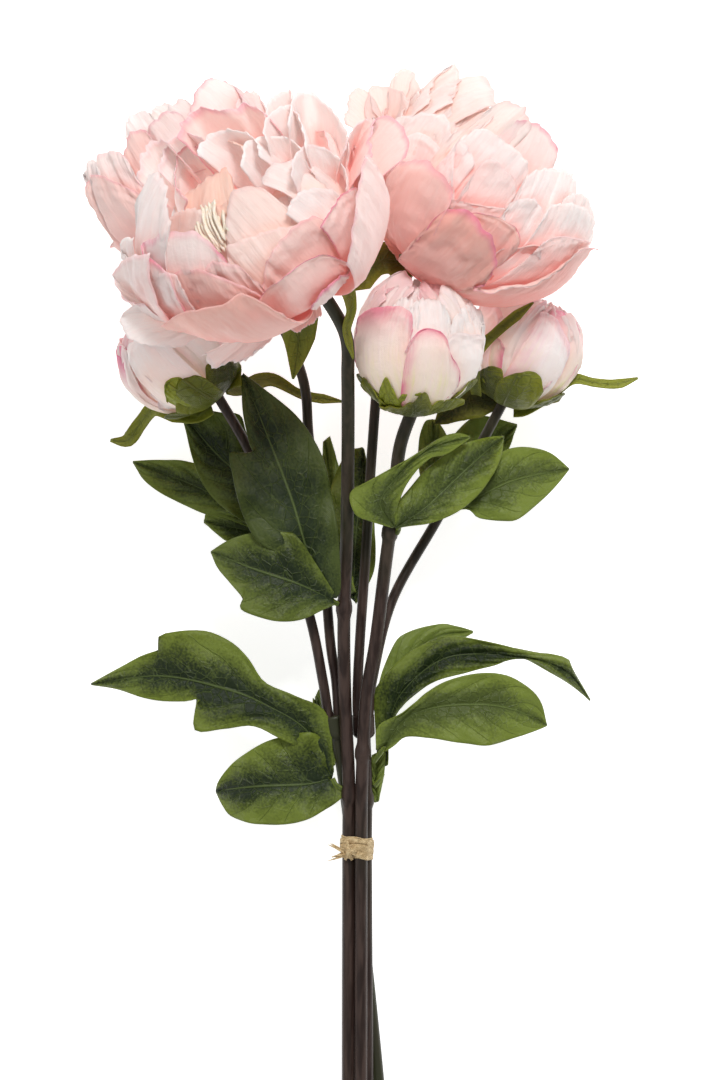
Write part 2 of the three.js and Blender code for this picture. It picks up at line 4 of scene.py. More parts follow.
import bpy
import numpy as np
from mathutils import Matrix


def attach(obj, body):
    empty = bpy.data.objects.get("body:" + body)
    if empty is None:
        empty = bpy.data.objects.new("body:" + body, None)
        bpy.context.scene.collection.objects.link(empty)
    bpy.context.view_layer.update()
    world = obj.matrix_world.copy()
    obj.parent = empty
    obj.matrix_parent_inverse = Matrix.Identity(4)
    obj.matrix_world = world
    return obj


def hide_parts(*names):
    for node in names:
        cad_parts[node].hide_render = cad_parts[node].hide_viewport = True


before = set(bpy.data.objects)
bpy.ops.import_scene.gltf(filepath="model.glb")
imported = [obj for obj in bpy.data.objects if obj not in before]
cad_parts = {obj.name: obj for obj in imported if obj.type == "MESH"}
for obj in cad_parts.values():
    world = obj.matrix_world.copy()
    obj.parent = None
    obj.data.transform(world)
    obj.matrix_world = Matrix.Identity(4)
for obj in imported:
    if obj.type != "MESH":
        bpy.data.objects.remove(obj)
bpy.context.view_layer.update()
scene = bpy.context.scene

# camera: straight down, 2 m above the plane where one pixel of the 720 x 1080 picture is 0.45 mm; all in mm
view = {"middle": (-2.4, 79.3), "middlePixel": (360, 540), "height": 2060.0, "distance": 2000.0,
        "pixel": 0.45, "halfHeight": 243.0, "sensor": 36.0, "farthest": 20000.0}
originShift = np.array([*view["middle"], 0.0])  # from the picture's middle to the part's origin, mm
eye = bpy.data.objects.new("camera", bpy.data.cameras.new("camera"))
eye.data.sensor_fit = "VERTICAL"
eye.data.sensor_height = view["sensor"]
eye.data.lens = view["sensor"] / 2 * view["distance"] / view["halfHeight"]
eye.data.clip_end = view["farthest"] / 1000
eye.location = (view["middle"][0] / 1000, view["middle"][1] / 1000, view["height"] / 1000)
scene.collection.objects.link(eye)
scene.camera = eye
scene.view_settings.view_transform = "Standard"
print("camera set")


def seen(px, py, z):
    # the point at height z that the picture shows at a pixel: steps from the picture's middle times a pixel's
    # size at that height
    pixel = view["pixel"] * (view["height"] - z) / view["distance"]
    middle = view["middlePixel"]
    return np.stack([(px - middle[0]) * pixel, (middle[1] - py) * pixel, z + 0 * px], -1)


def unit(vectors):
    # each vector divided by its length
    return vectors / np.maximum(np.linalg.norm(vectors, axis=-1, keepdims=True), 1e-9)


def ease(t):
    # 0 below 0 and 1 above 1, with level ends: 3t^2 - 2t^3 between
    t = np.clip(t, 0, 1)
    return t * t * (3 - 2 * t)


def curve(points, count):
    # smooth curve through the points, evenly spaced by length: cubic pieces whose end slopes are half the
    # chord between neighbours, with at least 24 samples to a piece
    p = np.array(points, float)
    p = np.vstack([2 * p[0] - p[1], p, 2 * p[-1] - p[-2]])
    t = np.linspace(0, len(points) - 1, 24 * len(points))
    i = np.minimum(t.astype(int), len(points) - 2)
    f = (t - i)[:, None]
    a, b, c, d = p[i], p[i + 1], p[i + 2], p[i + 3]
    q = 0.5 * (2 * b + (c - a) * f + (2 * a - 5 * b + 4 * c - d) * f**2 + (3 * b - a - 3 * c + d) * f**3)
    length = np.concatenate([[0], np.cumsum(np.linalg.norm(np.diff(q, axis=0), axis=1))])
    even = np.linspace(0, length[-1], count)
    return np.stack([np.interp(even, length, q[:, k]) for k in range(q.shape[1])], -1)


def waves(rng, across, along, counts, size):
    # sum of sines across the cloth, one per count, with random starts and weights and a little drift along
    # it, scaled to about the given size
    total = 0
    for n in counts:
        start, drift, weight = rng.uniform(0, 2 * math.pi), rng.uniform(-1.5, 1.5), rng.uniform(0.5, 1)
        total = total + weight * np.sin(n * math.pi * across + start + drift * along)
    return size * total / math.sqrt(len(counts))


dentLengths = (6, 8, 10, 13, 18, 24)  # mm


def dents(rng, x, y, size):
    # crumpled cloth: sines in random directions that wander a little, each as high as it is long, and every
    # other one folded to a sharp ridge
    total = 0
    for n, length in enumerate(dentLengths):
        way, start = rng.uniform(0, 2 * math.pi, 2)
        wander = 0.7 * np.sin(0.25 * (x - y) + start)
        ripple = np.sin(2 * math.pi * (x * math.cos(way) + y * math.sin(way)) / length + start + wander)
        total = total + length * (ripple if n % 2 else 1.2 - 1.8 * np.abs(ripple))  # the ridge swings about 0
    return size * total / math.sqrt(sum(length**2 for length in dentLengths))


valueNames = ("along", "across", "tone", "blush", "crevice", "lit")  # what the materials read at each point


def buildPiece(name, sheets, material, nodes, thickness=0.0):
    # joins grids of points into one mesh: neighbours in rows and columns become quads, a tube's ends are
    # closed by fans, and a thickness in mm makes a wall half to each side
    vertices, faces, values, start = [], [], {v: [] for v in valueNames}, 0
    for sheet in sheets:
        points, closed = sheet["points"], sheet.get("closed")
        rows, cols = points.shape[:2]
        index = start + np.arange(rows * cols).reshape(rows, cols)
        right = np.roll(index, -1, axis=1) if closed else index[:, 1:]
        left = index if closed else index[:, :-1]
        faces += np.stack([left[:-1], right[:-1], right[1:], left[1:]], -1).reshape(-1, 4).tolist()
        block = [points.reshape(-1, 3)]
        grids = {v: np.broadcast_to(sheet.get(v, 0.0), (rows, cols)) for v in valueNames}
        for v, grid in grids.items():
            values[v].append(grid.reshape(-1))
        if closed:
            tips = start + rows * cols + np.arange(2)
            first, last = index[0], index[-1]
            faces += np.stack([np.roll(first, -1), first, np.full(cols, tips[0])], -1).tolist()
            faces += np.stack([last, np.roll(last, -1), np.full(cols, tips[1])], -1).tolist()
            block.append(np.stack([points[0].mean(0), points[-1].mean(0)]))
            for v, grid in grids.items():
                values[v].append(np.array([grid[0].mean(), grid[-1].mean()]))
        vertices.append(np.vstack(block))
        start += len(vertices[-1])
    places = (np.vstack(vertices) + originShift) / 1000
    mesh = bpy.data.meshes.new(name)
    mesh.from_pydata(places.tolist(), [], faces)
    for v in valueNames:
        layer = mesh.attributes.new(v, "FLOAT", "POINT")
        layer.data.foreach_set("value", np.concatenate(values[v]).astype(np.float32))
    mesh.polygons.foreach_set("use_smooth", np.ones(len(mesh.polygons), bool))
    mesh.materials.append(material)
    mesh.update()
    piece = bpy.data.objects.new(name, mesh)
    scene.collection.objects.link(piece)
    if thickness:
        wall = piece.modifiers.new("thickness", "SOLIDIFY")
        wall.thickness = thickness / 1000
        wall.offset = 0
    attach(piece, "root")
    if nodes:
        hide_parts(*nodes)


def tube(points, radius, sides, count, side=(0, 0, 1)):
    # a circle of the given radius carried along a smooth curve; its spokes are the given side turned across
    # the curve, and the radius may be a function of the share along it and of its points
    line = curve(points, count)
    heading = unit(np.gradient(line, axis=0))
    across = unit(np.cross(heading, np.array(side, float)))
    up = np.cross(across, heading)
    turn = np.linspace(0, 2 * math.pi, sides, endpoint=False)
    share = np.linspace(0, 1, len(line))
    radii = radius(share, line) if callable(radius) else np.full(len(line), radius)
    ring = np.cos(turn)[None, :, None] * across[:, None] + np.sin(turn)[None, :, None] * up[:, None]
    return {"points": line[:, None] + ring * radii[:, None, None], "closed": True, "along": share[:, None],
            "across": np.cos(turn)[None, :]}


# materials: the helpers come first
def nodesOf(name):
    # a new material with its tree of nodes and its shader
    material = bpy.data.materials.new(name)
    material.use_nodes = True
    tree = material.node_tree
    return material, tree, tree.nodes["Principled BSDF"]


def add(tree, kind, inputs=None, **settings):
    # one node with its settings and input values or links
    node = tree.nodes.new(kind)
    for key, value in settings.items():
        setattr(node, key, value)
    for key, value in (inputs or {}).items():
        if isinstance(value, bpy.types.NodeSocket):
            tree.links.new(value, node.inputs[key])
        else:
            node.inputs[key].default_value = value
    return node


def maths(tree, operation, a, b=0.0, c=0.0, clamp=False):
    # a, b and c by the operation; MULTIPLY_ADD is a times b plus c
    return add(tree, "ShaderNodeMath", {0: a, 1: b, 2: c}, operation=operation, use_clamp=clamp).outputs[0]


def centred(tree, value, size):
    # a value of 0 to 1 as a swing of the given size about 0
    return maths(tree, "MULTIPLY_ADD", value, size, -size / 2)


def mixed(tree, factor, a, b, blend="MIX"):
    # colour a turned into b, or blended with it another way, by the factor
    node = add(tree, "ShaderNodeMix", {0: factor, 6: a, 7: b}, data_type="RGBA", blend_type=blend)
    return node.outputs[2]


def ranged(tree, value, low, high, outLow=0.0, outHigh=1.0):
    # a smooth step from outLow at low to outHigh at high
    limits = {0: value, 1: low, 2: high, 3: outLow, 4: outHigh}
    return add(tree, "ShaderNodeMapRange", limits, interpolation_type="SMOOTHSTEP").outputs[0]


def noise(tree, place, scale, detail, **more):
    # noise at a place, of so many bumps to a unit, with finer ones added by detail
    inputs = {"Vector": place, "Scale": scale, "Detail": detail} | more
    return add(tree, "ShaderNodeTexNoise", inputs).outputs["Fac"]


def placeOf(tree):
    # the point itself in the piece, m
    return add(tree, "ShaderNodeTexCoord").outputs["Object"]


def valueOf(tree, name):
    # one of the values stored at the points of the mesh
    return add(tree, "ShaderNodeAttribute", attribute_name=name).outputs["Fac"]


# cloth: threads are a sine's radians to a metre, scales are bumps of noise to a metre, heights are shares of
# bumpDepth, which is in m
weaveLook = {"threads": 7000.0, "threadHeight": 0.06, "fibreScale": 900.0, "fibreHeight": 0.35,
             "wrinkleScale": 110.0, "wrinkleTwist": 0.6, "cloudScale": 45.0, "bumpDepth": 0.001}


def weaveGroup():
    # one height, the sum of threads (a sine one way times a sine the other), fibres and soft wrinkles; a
    # cloudy mask for the dye; and the fibres alone
    group = bpy.data.node_groups.new("wovenCloth", "ShaderNodeTree")
    for label in ("Thread scale", "Wrinkle"):
        group.interface.new_socket(name=label, in_out="INPUT", socket_type="NodeSocketFloat")
    for label in ("Height", "Cloud", "Fibre"):
        group.interface.new_socket(name=label, in_out="OUTPUT", socket_type="NodeSocketFloat")
    given, result = group.nodes.new("NodeGroupInput"), group.nodes.new("NodeGroupOutput")
    place = placeOf(group)
    scaled = add(group, "ShaderNodeVectorMath", {0: place, "Scale": given.outputs["Thread scale"]},
                 operation="SCALE")
    split = add(group, "ShaderNodeSeparateXYZ", {0: scaled.outputs[0]})
    warp = maths(group, "SINE", maths(group, "ADD", split.outputs["X"], split.outputs["Z"]))
    weft = maths(group, "SINE", maths(group, "SUBTRACT", split.outputs["Y"], split.outputs["Z"]))
    threads = maths(group, "MULTIPLY", warp, weft)
    fibre = noise(group, place, weaveLook["fibreScale"], 3.0)
    wrinkle = noise(group, place, weaveLook["wrinkleScale"], 4.0, Roughness=0.6,
                    Distortion=weaveLook["wrinkleTwist"])
    cloud = noise(group, place, weaveLook["cloudScale"], 3.0)
    height = maths(group, "MULTIPLY", threads, weaveLook["threadHeight"])
    height = maths(group, "MULTIPLY_ADD", fibre, weaveLook["fibreHeight"], height)
    height = maths(group, "MULTIPLY_ADD", wrinkle, given.outputs["Wrinkle"], height)
    for label, value in (("Height", height), ("Cloud", cloud), ("Fibre", fibre)):
        group.links.new(value, result.inputs[label])
    return group


weave = weaveGroup()


def clothBase(name, look):
    # a material with the weave and the look's finish; the caller raises it and colours it
    material, tree, shader = nodesOf(name)
    cloth = add(tree, "ShaderNodeGroup", {"Thread scale": weaveLook["threads"], "Wrinkle": look["wrinkle"]},
                node_tree=weave)
    shader.inputs["Roughness"].default_value = look["roughness"]
    shader.inputs["Sheen Weight"].default_value = look["sheen"]
    shader.inputs["Specular IOR Level"].default_value = look["specular"]
    return material, tree, shader, cloth


def bumped(tree, shader, height, strength, distance):
    # the surface tilted, by strength, as if raised by the height times the distance in m
    raised = add(tree, "ShaderNodeBump", {"Height": height, "Strength": strength, "Distance": distance})
    tree.links.new(raised.outputs[0], shader.inputs["Normal"])


# what all petals share; a range is from, to and, where it has four values, what comes out at each
petalFinish = {
    "roughness": 0.55, "sheen": 0.06, "specular": 0.28, "wrinkle": 1.2, "bump": 0.5,
    "streakShift": 17.0, "streaks": 7.0, "streakDrift": 1.3, "streakScale": 3.0, "streakHeight": 1.1,
    "streakShare": (0.35, 0.7, 0.0, 0.35),
    "uneven": 0.5, "whitening": 0.3, "stainBroken": (0.25, 0.55, 0.45, 1.0),
    # ownGlow to rootGlow set a painted glow: a share of the petal's own colour that fades towards the rim,
    # and the crevice tint in crevices and at the root
    "ownGlow": 0.8, "glowFades": (0.35, 1.0, 0.0, 0.7), "creviceGlow": 0.5, "rootGlow": (0.0, 0.36, 1.0, 0.0),
    "lightWays": (1.0, 0.8, 0.75), "lightDepth": 0.0015}  # shares of red, green and blue, and how far in, m


def petalMaterial(name, look):
    # dye runs from the root's colour through the middle to the rim's; tone picks dusty, pale or white; blush
    # stains the edge, folds near another petal's rim get a painted shade in the crevice tint, and fine
    # streaks run along the petal; a painted glow stands in for light through the thin cloth, lit petals most
    look = petalFinish | look
    material, tree, shader, cloth = clothBase(name, look)
    along, across, tone, blush, crevice, lit = (
        valueOf(tree, v) for v in ("along", "across", "tone", "blush", "crevice", "lit"))
    cloud = cloth.outputs["Cloud"]
    lane = maths(tree, "MULTIPLY", across, look["streaks"])
    lane = maths(tree, "MULTIPLY_ADD", tone, look["streakShift"], lane)
    drift = maths(tree, "MULTIPLY", along, look["streakDrift"])
    spot = add(tree, "ShaderNodeCombineXYZ", {0: lane, 1: drift}).outputs[0]
    streak = noise(tree, spot, look["streakScale"], 4.0, Roughness=0.6)
    uneven = maths(tree, "ADD", centred(tree, cloud, look["uneven"]), centred(tree, streak, look["uneven"]))
    reach = maths(tree, "ADD", uneven, along)
    pale = mixed(tree, ranged(tree, tone, 0.0, 0.5), look["dusty"], look["pale"])
    pale = mixed(tree, ranged(tree, tone, 0.5, 1.0), pale, look["white"])
    rooted = mixed(tree, ranged(tree, reach, *look["rootReach"]), look["root"], look["middle"])
    whitened = maths(tree, "MULTIPLY_ADD", tone, look["whitening"], reach)
    dyed = mixed(tree, ranged(tree, whitened, *look["paleReach"]), rooted, pale)
    sideEdge = ranged(tree, maths(tree, "ABSOLUTE", across), *look["edge"])
    edge = maths(tree, "MAXIMUM", ranged(tree, along, *look["edge"]), sideEdge)
    broken = ranged(tree, maths(tree, "ADD", cloud, uneven), *look["stainBroken"])
    stain = maths(tree, "MULTIPLY", maths(tree, "MULTIPLY", edge, broken), blush, clamp=True)
    stained = mixed(tree, stain, dyed, look["stain"])
    # painted shade: near another petal's rim the colour turns to the crevice tint
    paintedCreviceTint = mixed(tree, maths(tree, "MULTIPLY", crevice, look["paintedCreviceShare"]), stained, look["paintedCreviceTint"])
    streaked = mixed(tree, ranged(tree, streak, *look["streakShare"]), paintedCreviceTint, look["streak"], "MULTIPLY")
    tree.links.new(streaked, shader.inputs["Base Color"])
    # painted glow: emission in the petal's own colour, fading towards the rim and turning to the crevice tint
    # in crevices and at the root, weaker on petals that are not lit; it stands in for light through the thin
    # cloth and light bounced between petals
    black = (0, 0, 0, 1)
    own = mixed(tree, look["ownGlow"], black, streaked)
    own = mixed(tree, ranged(tree, along, *look["glowFades"]), own, black)
    inner = maths(tree, "MAXIMUM", maths(tree, "MULTIPLY", crevice, look["creviceGlow"]),
                  ranged(tree, along, *look["rootGlow"]))
    glow = mixed(tree, inner, own, look["paintedCreviceTint"])
    glow = mixed(tree, ranged(tree, lit, 0.0, 1.0, look["leastLit"], 1.0), black, glow)
    tree.links.new(glow, shader.inputs["Emission Color"])
    shader.inputs["Emission Strength"].default_value = look["glow"]
    height = maths(tree, "MULTIPLY_ADD", streak, look["streakHeight"], cloth.outputs["Height"])
    bumped(tree, shader, height, look["bump"], weaveLook["bumpDepth"])
    shader.inputs["Subsurface Weight"].default_value = look["see"]
    shader.inputs["Subsurface Radius"].default_value = look["lightWays"]
    shader.inputs["Subsurface Scale"].default_value = look["lightDepth"]
    return material


petalCloth = petalMaterial("petal_cloth", {
    "root": (0.93, 0.38, 0.34, 1), "middle": (0.94, 0.60, 0.55, 1), "pale": (0.94, 0.71, 0.67, 1),
    "dusty": (0.88, 0.45, 0.38, 1), "white": (0.97, 0.88, 0.84, 1), "stain": (0.72, 0.21, 0.31, 1),
    "paintedCreviceTint": (0.92, 0.34, 0.30, 1), "streak": (0.97, 0.86, 0.87, 1), "rootReach": (0.15, 0.65),
    "paleReach": (0.35, 0.9), "edge": (0.94, 1.0), "paintedCreviceShare": 0.62, "glow": 0.29, "leastLit": 0.38,
    "see": 0.6})
# the petal cloth with lighter colours and more painted glow, painting light into the bloom's heart and inner
# layers where shade falls
heartClothPaintedLight = petalMaterial("heart_cloth_painted_light", {
    "root": (0.97, 0.60, 0.52, 1), "middle": (0.95, 0.70, 0.64, 1), "pale": (0.94, 0.74, 0.69, 1),
    "dusty": (0.96, 0.58, 0.47, 1), "white": (0.95, 0.88, 0.86, 1), "stain": (0.68, 0.26, 0.32, 1),
    "paintedCreviceTint": (0.98, 0.55, 0.43, 1), "streak": (0.97, 0.87, 0.86, 1), "rootReach": (0.15, 0.75),
    "paleReach": (0.45, 1.0), "edge": (0.94, 1.0), "paintedCreviceShare": 0.4, "glow": 0.34, "leastLit": 0.62,
    "see": 0.6})
budCloth = petalMaterial("bud_cloth", {
    "root": (0.74, 0.72, 0.26, 1), "middle": (0.88, 0.74, 0.58, 1), "pale": (0.92, 0.78, 0.72, 1),
    "dusty": (0.88, 0.56, 0.52, 1), "white": (0.94, 0.88, 0.85, 1), "stain": (0.74, 0.19, 0.30, 1),
    "paintedCreviceTint": (0.88, 0.56, 0.46, 1), "streak": (0.97, 0.90, 0.89, 1), "rootReach": (0.08, 0.4),
    "paleReach": (0.3, 0.8), "edge": (0.5, 1.0), "paintedCreviceShare": 0.35, "glow": 0.26, "leastLit": 0.55,
    "see": 0.5})


# side veins lie where a sine of so many radians along the rib is 0, and slant forward towards the margin
leafVeins = {"radians": 18.0, "slant": 0.32}
leafFinish = {
    "roughness": 0.36, "sheen": 0.0, "specular": 0.27, "wrinkle": 1.4,
    "cloudy": 1.3, "speckled": 0.8, "sideward": 0.75, "forward": 0.35,  # what moves the lighter margin
    "veinWander": 0.06, "wanderScale": 60.0, "veinWidth": 0.09, "veinFades": (0.75, 1.0, 1.0, 0.0),
    "ribWidth": (0.012, 0.045), "netScale": 190.0, "netWidth": 0.06, "netStrength": 0.6,
    "netFades": (0.1, 0.9, 1.0, 0.0), "lineHeight": 0.9,
    # the dusty speck colour also paints a sheen
    "dustAndSheenColour": (0.17, 0.23, 0.12, 1), "dustAndSheenFibre": 0.5, "dustAndSheenRange": (0.55, 0.95)}


def leafMaterial(name, look):
    # dark middle, lighter margin, a pale rib, fine side veins that slant forward, a net between them, and
    # dusty grey-green specks that also paint a sheen
    look = leafFinish | look
    material, tree, shader, cloth = clothBase(name, look)
    along, across, tone = (valueOf(tree, v) for v in ("along", "across", "tone"))
    side = maths(tree, "ABSOLUTE", across)
    cloud, fibre = cloth.outputs["Cloud"], cloth.outputs["Fibre"]
    outward = maths(tree, "MULTIPLY", along, look["forward"])
    outward = maths(tree, "MULTIPLY_ADD", side, look["sideward"], outward)
    patch = maths(tree, "ADD", centred(tree, cloud, look["cloudy"]), outward)
    speckle = maths(tree, "ADD", centred(tree, fibre, look["speckled"]), patch)
    margin = maths(tree, "MULTIPLY", ranged(tree, speckle, *look["margin"]), maths(tree, "ADD", tone, 1.0),
                   clamp=True)
    green = mixed(tree, tone, mixed(tree, margin, look["dark"], look["light"]), look["young"])
    wander = centred(tree, noise(tree, placeOf(tree), look["wanderScale"], 2.0), look["veinWander"])
    slant = maths(tree, "ADD", wander, maths(tree, "MULTIPLY_ADD", side, -leafVeins["slant"], along))
    wave = maths(tree, "ABSOLUTE", maths(tree, "SINE", maths(tree, "MULTIPLY", slant, leafVeins["radians"])))
    veins = maths(tree, "MULTIPLY", ranged(tree, wave, 0.0, look["veinWidth"], 1.0, 0.0),
                  ranged(tree, side, *look["veinFades"]))
    rib = ranged(tree, side, *look["ribWidth"], 1.0, 0.0)
    net = add(tree, "ShaderNodeTexVoronoi", {"Vector": placeOf(tree), "Scale": look["netScale"]},
              feature="DISTANCE_TO_EDGE").outputs["Distance"]
    mesh = maths(tree, "MULTIPLY", ranged(tree, net, 0.0, look["netWidth"], look["netStrength"], 0.0),
                 ranged(tree, side, *look["netFades"]))
    lines = maths(tree, "MAXIMUM", maths(tree, "MAXIMUM", veins, mesh), rib)
    veined = mixed(tree, maths(tree, "MULTIPLY", lines, look["veinStrength"]), green, look["vein"])
    # dusty grey-green specks where fibre and cloud are high, which also paint a sheen
    dustAndSheen = maths(tree, "MULTIPLY_ADD", fibre, look["dustAndSheenFibre"], cloud)
    dustAndSheen = ranged(tree, dustAndSheen, *look["dustAndSheenRange"], 0.0, look["dustAndSheen"])
    tree.links.new(mixed(tree, dustAndSheen, veined, look["dustAndSheenColour"]), shader.inputs["Base Color"])
    height = maths(tree, "MULTIPLY_ADD", lines, look["lineHeight"], cloth.outputs["Height"])
    bumped(tree, shader, height, look["bump"], weaveLook["bumpDepth"])
    return material


leafCloth = leafMaterial("leaf_cloth", {
    "dark": (0.010, 0.020, 0.004, 1), "light": (0.17, 0.22, 0.022, 1), "young": (0.20, 0.26, 0.045, 1),
    "vein": (0.20, 0.27, 0.07, 1), "margin": (0.2, 1.05), "veinStrength": 0.36, "dustAndSheen": 0.10, "bump": 0.7})
sepalCloth = leafMaterial("sepal_cloth", {
    "dark": (0.028, 0.036, 0.005, 1), "light": (0.19, 0.19, 0.012, 1), "young": (0.30, 0.34, 0.03, 1),
    "vein": (0.16, 0.16, 0.05, 1), "margin": (0.2, 1.2), "veinStrength": 0.3, "dustAndSheen": 0.04, "bump": 0.8})

stemLook = {
    "dark": (0.024, 0.013, 0.010, 1), "brown": (0.062, 0.038, 0.030, 1), "olive": (0.035, 0.040, 0.018, 1),
    "stretch": (420.0, 22.0, 420.0), "patchScale": 9.0, "brownRange": (0.35, 0.65), "oliveRange": (0.5, 0.85),
    "toneShare": 0.5, "grainScale": 1500.0, "streakHeight": 1.5, "bump": 0.25, "bumpDepth": 0.0004,
    "roughness": (0.3, 0.7, 0.34, 0.5), "specular": 0.3}


def stemMaterial(name, look):
    # moulded plastic: dark brown with olive patches, streaks along the stem and a fine grain
    material, tree, shader = nodesOf(name)
    place = placeOf(tree)
    stretched = add(tree, "ShaderNodeMapping", {0: place, "Scale": look["stretch"]}).outputs[0]
    streak = noise(tree, stretched, 1.0, 4.0)
    patch = noise(tree, place, look["patchScale"], 2.0)
    brown = mixed(tree, ranged(tree, streak, *look["brownRange"]), look["dark"], look["brown"])
    olive = maths(tree, "MULTIPLY_ADD", valueOf(tree, "tone"), look["toneShare"], patch)
    coat = mixed(tree, ranged(tree, olive, *look["oliveRange"]), brown, look["olive"])
    tree.links.new(coat, shader.inputs["Base Color"])
    grain = noise(tree, place, look["grainScale"], 2.0)
    height = maths(tree, "MULTIPLY_ADD", streak, look["streakHeight"], grain)
    bumped(tree, shader, height, look["bump"], look["bumpDepth"])
    tree.links.new(ranged(tree, streak, *look["roughness"]), shader.inputs["Roughness"])
    shader.inputs["Specular IOR Level"].default_value = look["specular"]
    return material


stemCoat = stemMaterial("stem_coat", stemLook)


fibreLook = {"toneShift": 7.0, "drift": 5.0, "streakScale": 3.0, "fleckScale": 700.0, "fleckShare": 0.3,
             "streakShare": 0.8, "lightRange": (0.42, 0.66), "bump": 0.6, "bumpDepth": 0.0005,
             "roughness": 0.7}


def fibreMaterial(name, dark, light, streaks):
    # plant fibre or thread: streaks along the strand between a dark and a light colour, with flecks
    look = fibreLook
    material, tree, shader = nodesOf(name)
    lane = maths(tree, "MULTIPLY", valueOf(tree, "across"), streaks)
    lane = maths(tree, "MULTIPLY_ADD", valueOf(tree, "tone"), look["toneShift"], lane)
    drift = maths(tree, "MULTIPLY", valueOf(tree, "along"), look["drift"])
    spot = add(tree, "ShaderNodeCombineXYZ", {"X": lane, "Y": drift}).outputs[0]
    streak = noise(tree, spot, look["streakScale"], 4.0)
    fleck = noise(tree, placeOf(tree), look["fleckScale"], 2.0)
    worn = maths(tree, "MULTIPLY", streak, look["streakShare"])
    worn = maths(tree, "MULTIPLY_ADD", fleck, look["fleckShare"], worn)
    colour = mixed(tree, ranged(tree, worn, *look["lightRange"]), dark, light)
    tree.links.new(colour, shader.inputs["Base Color"])
    bumped(tree, shader, worn, look["bump"], look["bumpDepth"])
    shader.inputs["Roughness"].default_value = look["roughness"]
    return material


raffiaFibre = fibreMaterial("raffia_fibre", (0.33, 0.19, 0.06, 1), (0.93, 0.73, 0.42, 1), 9.0)
stamenThread = fibreMaterial("stamen_thread", (0.93, 0.76, 0.56, 1), (0.98, 0.94, 0.84, 1), 2.0)
print("materials made")


# petals: each follows a bowl about its flower's middle, from the hub round to its rim; narrowsOver is in
# degrees
bowlForm = {"narrowsOver": 100, "rounds": 12, "softness": 0.01, "rimPoints": 7, "shoulderPower": 2.4}


def flowerOf(middle, base, reach, turn=80):
    # a flower's middle, its axis from the base through the middle, two ways across it, and how its bowl
    # narrows
    middle, base = np.array(middle, float), np.array(base, float)
    hub = unit(base - middle)
    away = np.array([0, 0, -1.0])
    back = unit(away - hub * np.dot(away, hub))
    across = np.cross(-hub, back)
    pinch = 1 - np.linalg.norm(base - middle) / reach
    return {"middle": middle, "base": base, "axis": -hub, "hub": hub, "back": back, "side": across,
            "reach": reach, "pinch": pinch, "turn": turn}


def bowl(flower, direction):
    # share of the shell's radius at a direction: 1 on the open side, less towards the hub from a turn in
    # degrees off the axis
    angle = np.degrees(np.arccos(np.clip(direction @ flower["axis"], -1, 1)))
    return 1 - flower["pinch"] * ease((angle - flower["turn"]) / bowlForm["narrowsOver"])


def rimFromPicture(flower, pixels, shell, lift=0.0):
    # rim points on the ray of each pixel where it meets the bowl, raised by lift, found by repeating; past
    # the bowl's outline they come down to about the level of its middle
    pixels = np.array(pixels, float)
    middle = flower["middle"]
    z = np.full(len(pixels), middle[2])
    shell = np.linspace(*np.broadcast_to(shell, 2), len(pixels))
    for _ in range(bowlForm["rounds"]):
        points = seen(pixels[:, 0], pixels[:, 1], z)
        radius = shell * bowl(flower, unit(points - middle))
        inside = 1 - np.sum((points - middle)[:, :2] ** 2, 1) / radius**2
        soft = 0.5 * (inside + np.sqrt(inside**2 + bowlForm["softness"]))
        z = 0.5 * z + 0.5 * (middle[2] + lift + radius * np.sqrt(soft))
    return seen(pixels[:, 0], pixels[:, 1], z)


def rimGrown(flower, shell, turn, half, tip, drop):
    # rim points by angle: turn about the axis from the back, half width, tip angle from the axis, and how far
    # the shoulders drop
    across = np.linspace(-1, 1, bowlForm["rimPoints"])
    angle = np.radians(tip + drop * np.abs(across) ** bowlForm["shoulderPower"])[:, None]
    turns = np.radians(turn + half * across)[:, None]
    outward = np.cos(turns) * flower["back"] + np.sin(turns) * flower["side"]
    direction = np.cos(angle) * flower["axis"] + np.sin(angle) * outward
    return flower["middle"] + direction * shell * bowl(flower, direction)[:, None]


petalForm = {"cells": (34, 40), "notch": 0.012, "notchWaves": (2, 5, 9), "rootSpread": 0.3, "sideSpread": 0.9,
             "inset": 0.6, "ruffleWaves": (2, 3, 4), "crinkleWaves": (8, 11, 15), "creases": 5,
             "creaseWidth": (0.04, 0.1), "lean": 0.45, "leanBelly": 3.0, "wall": 0.3}  # the last two in mm


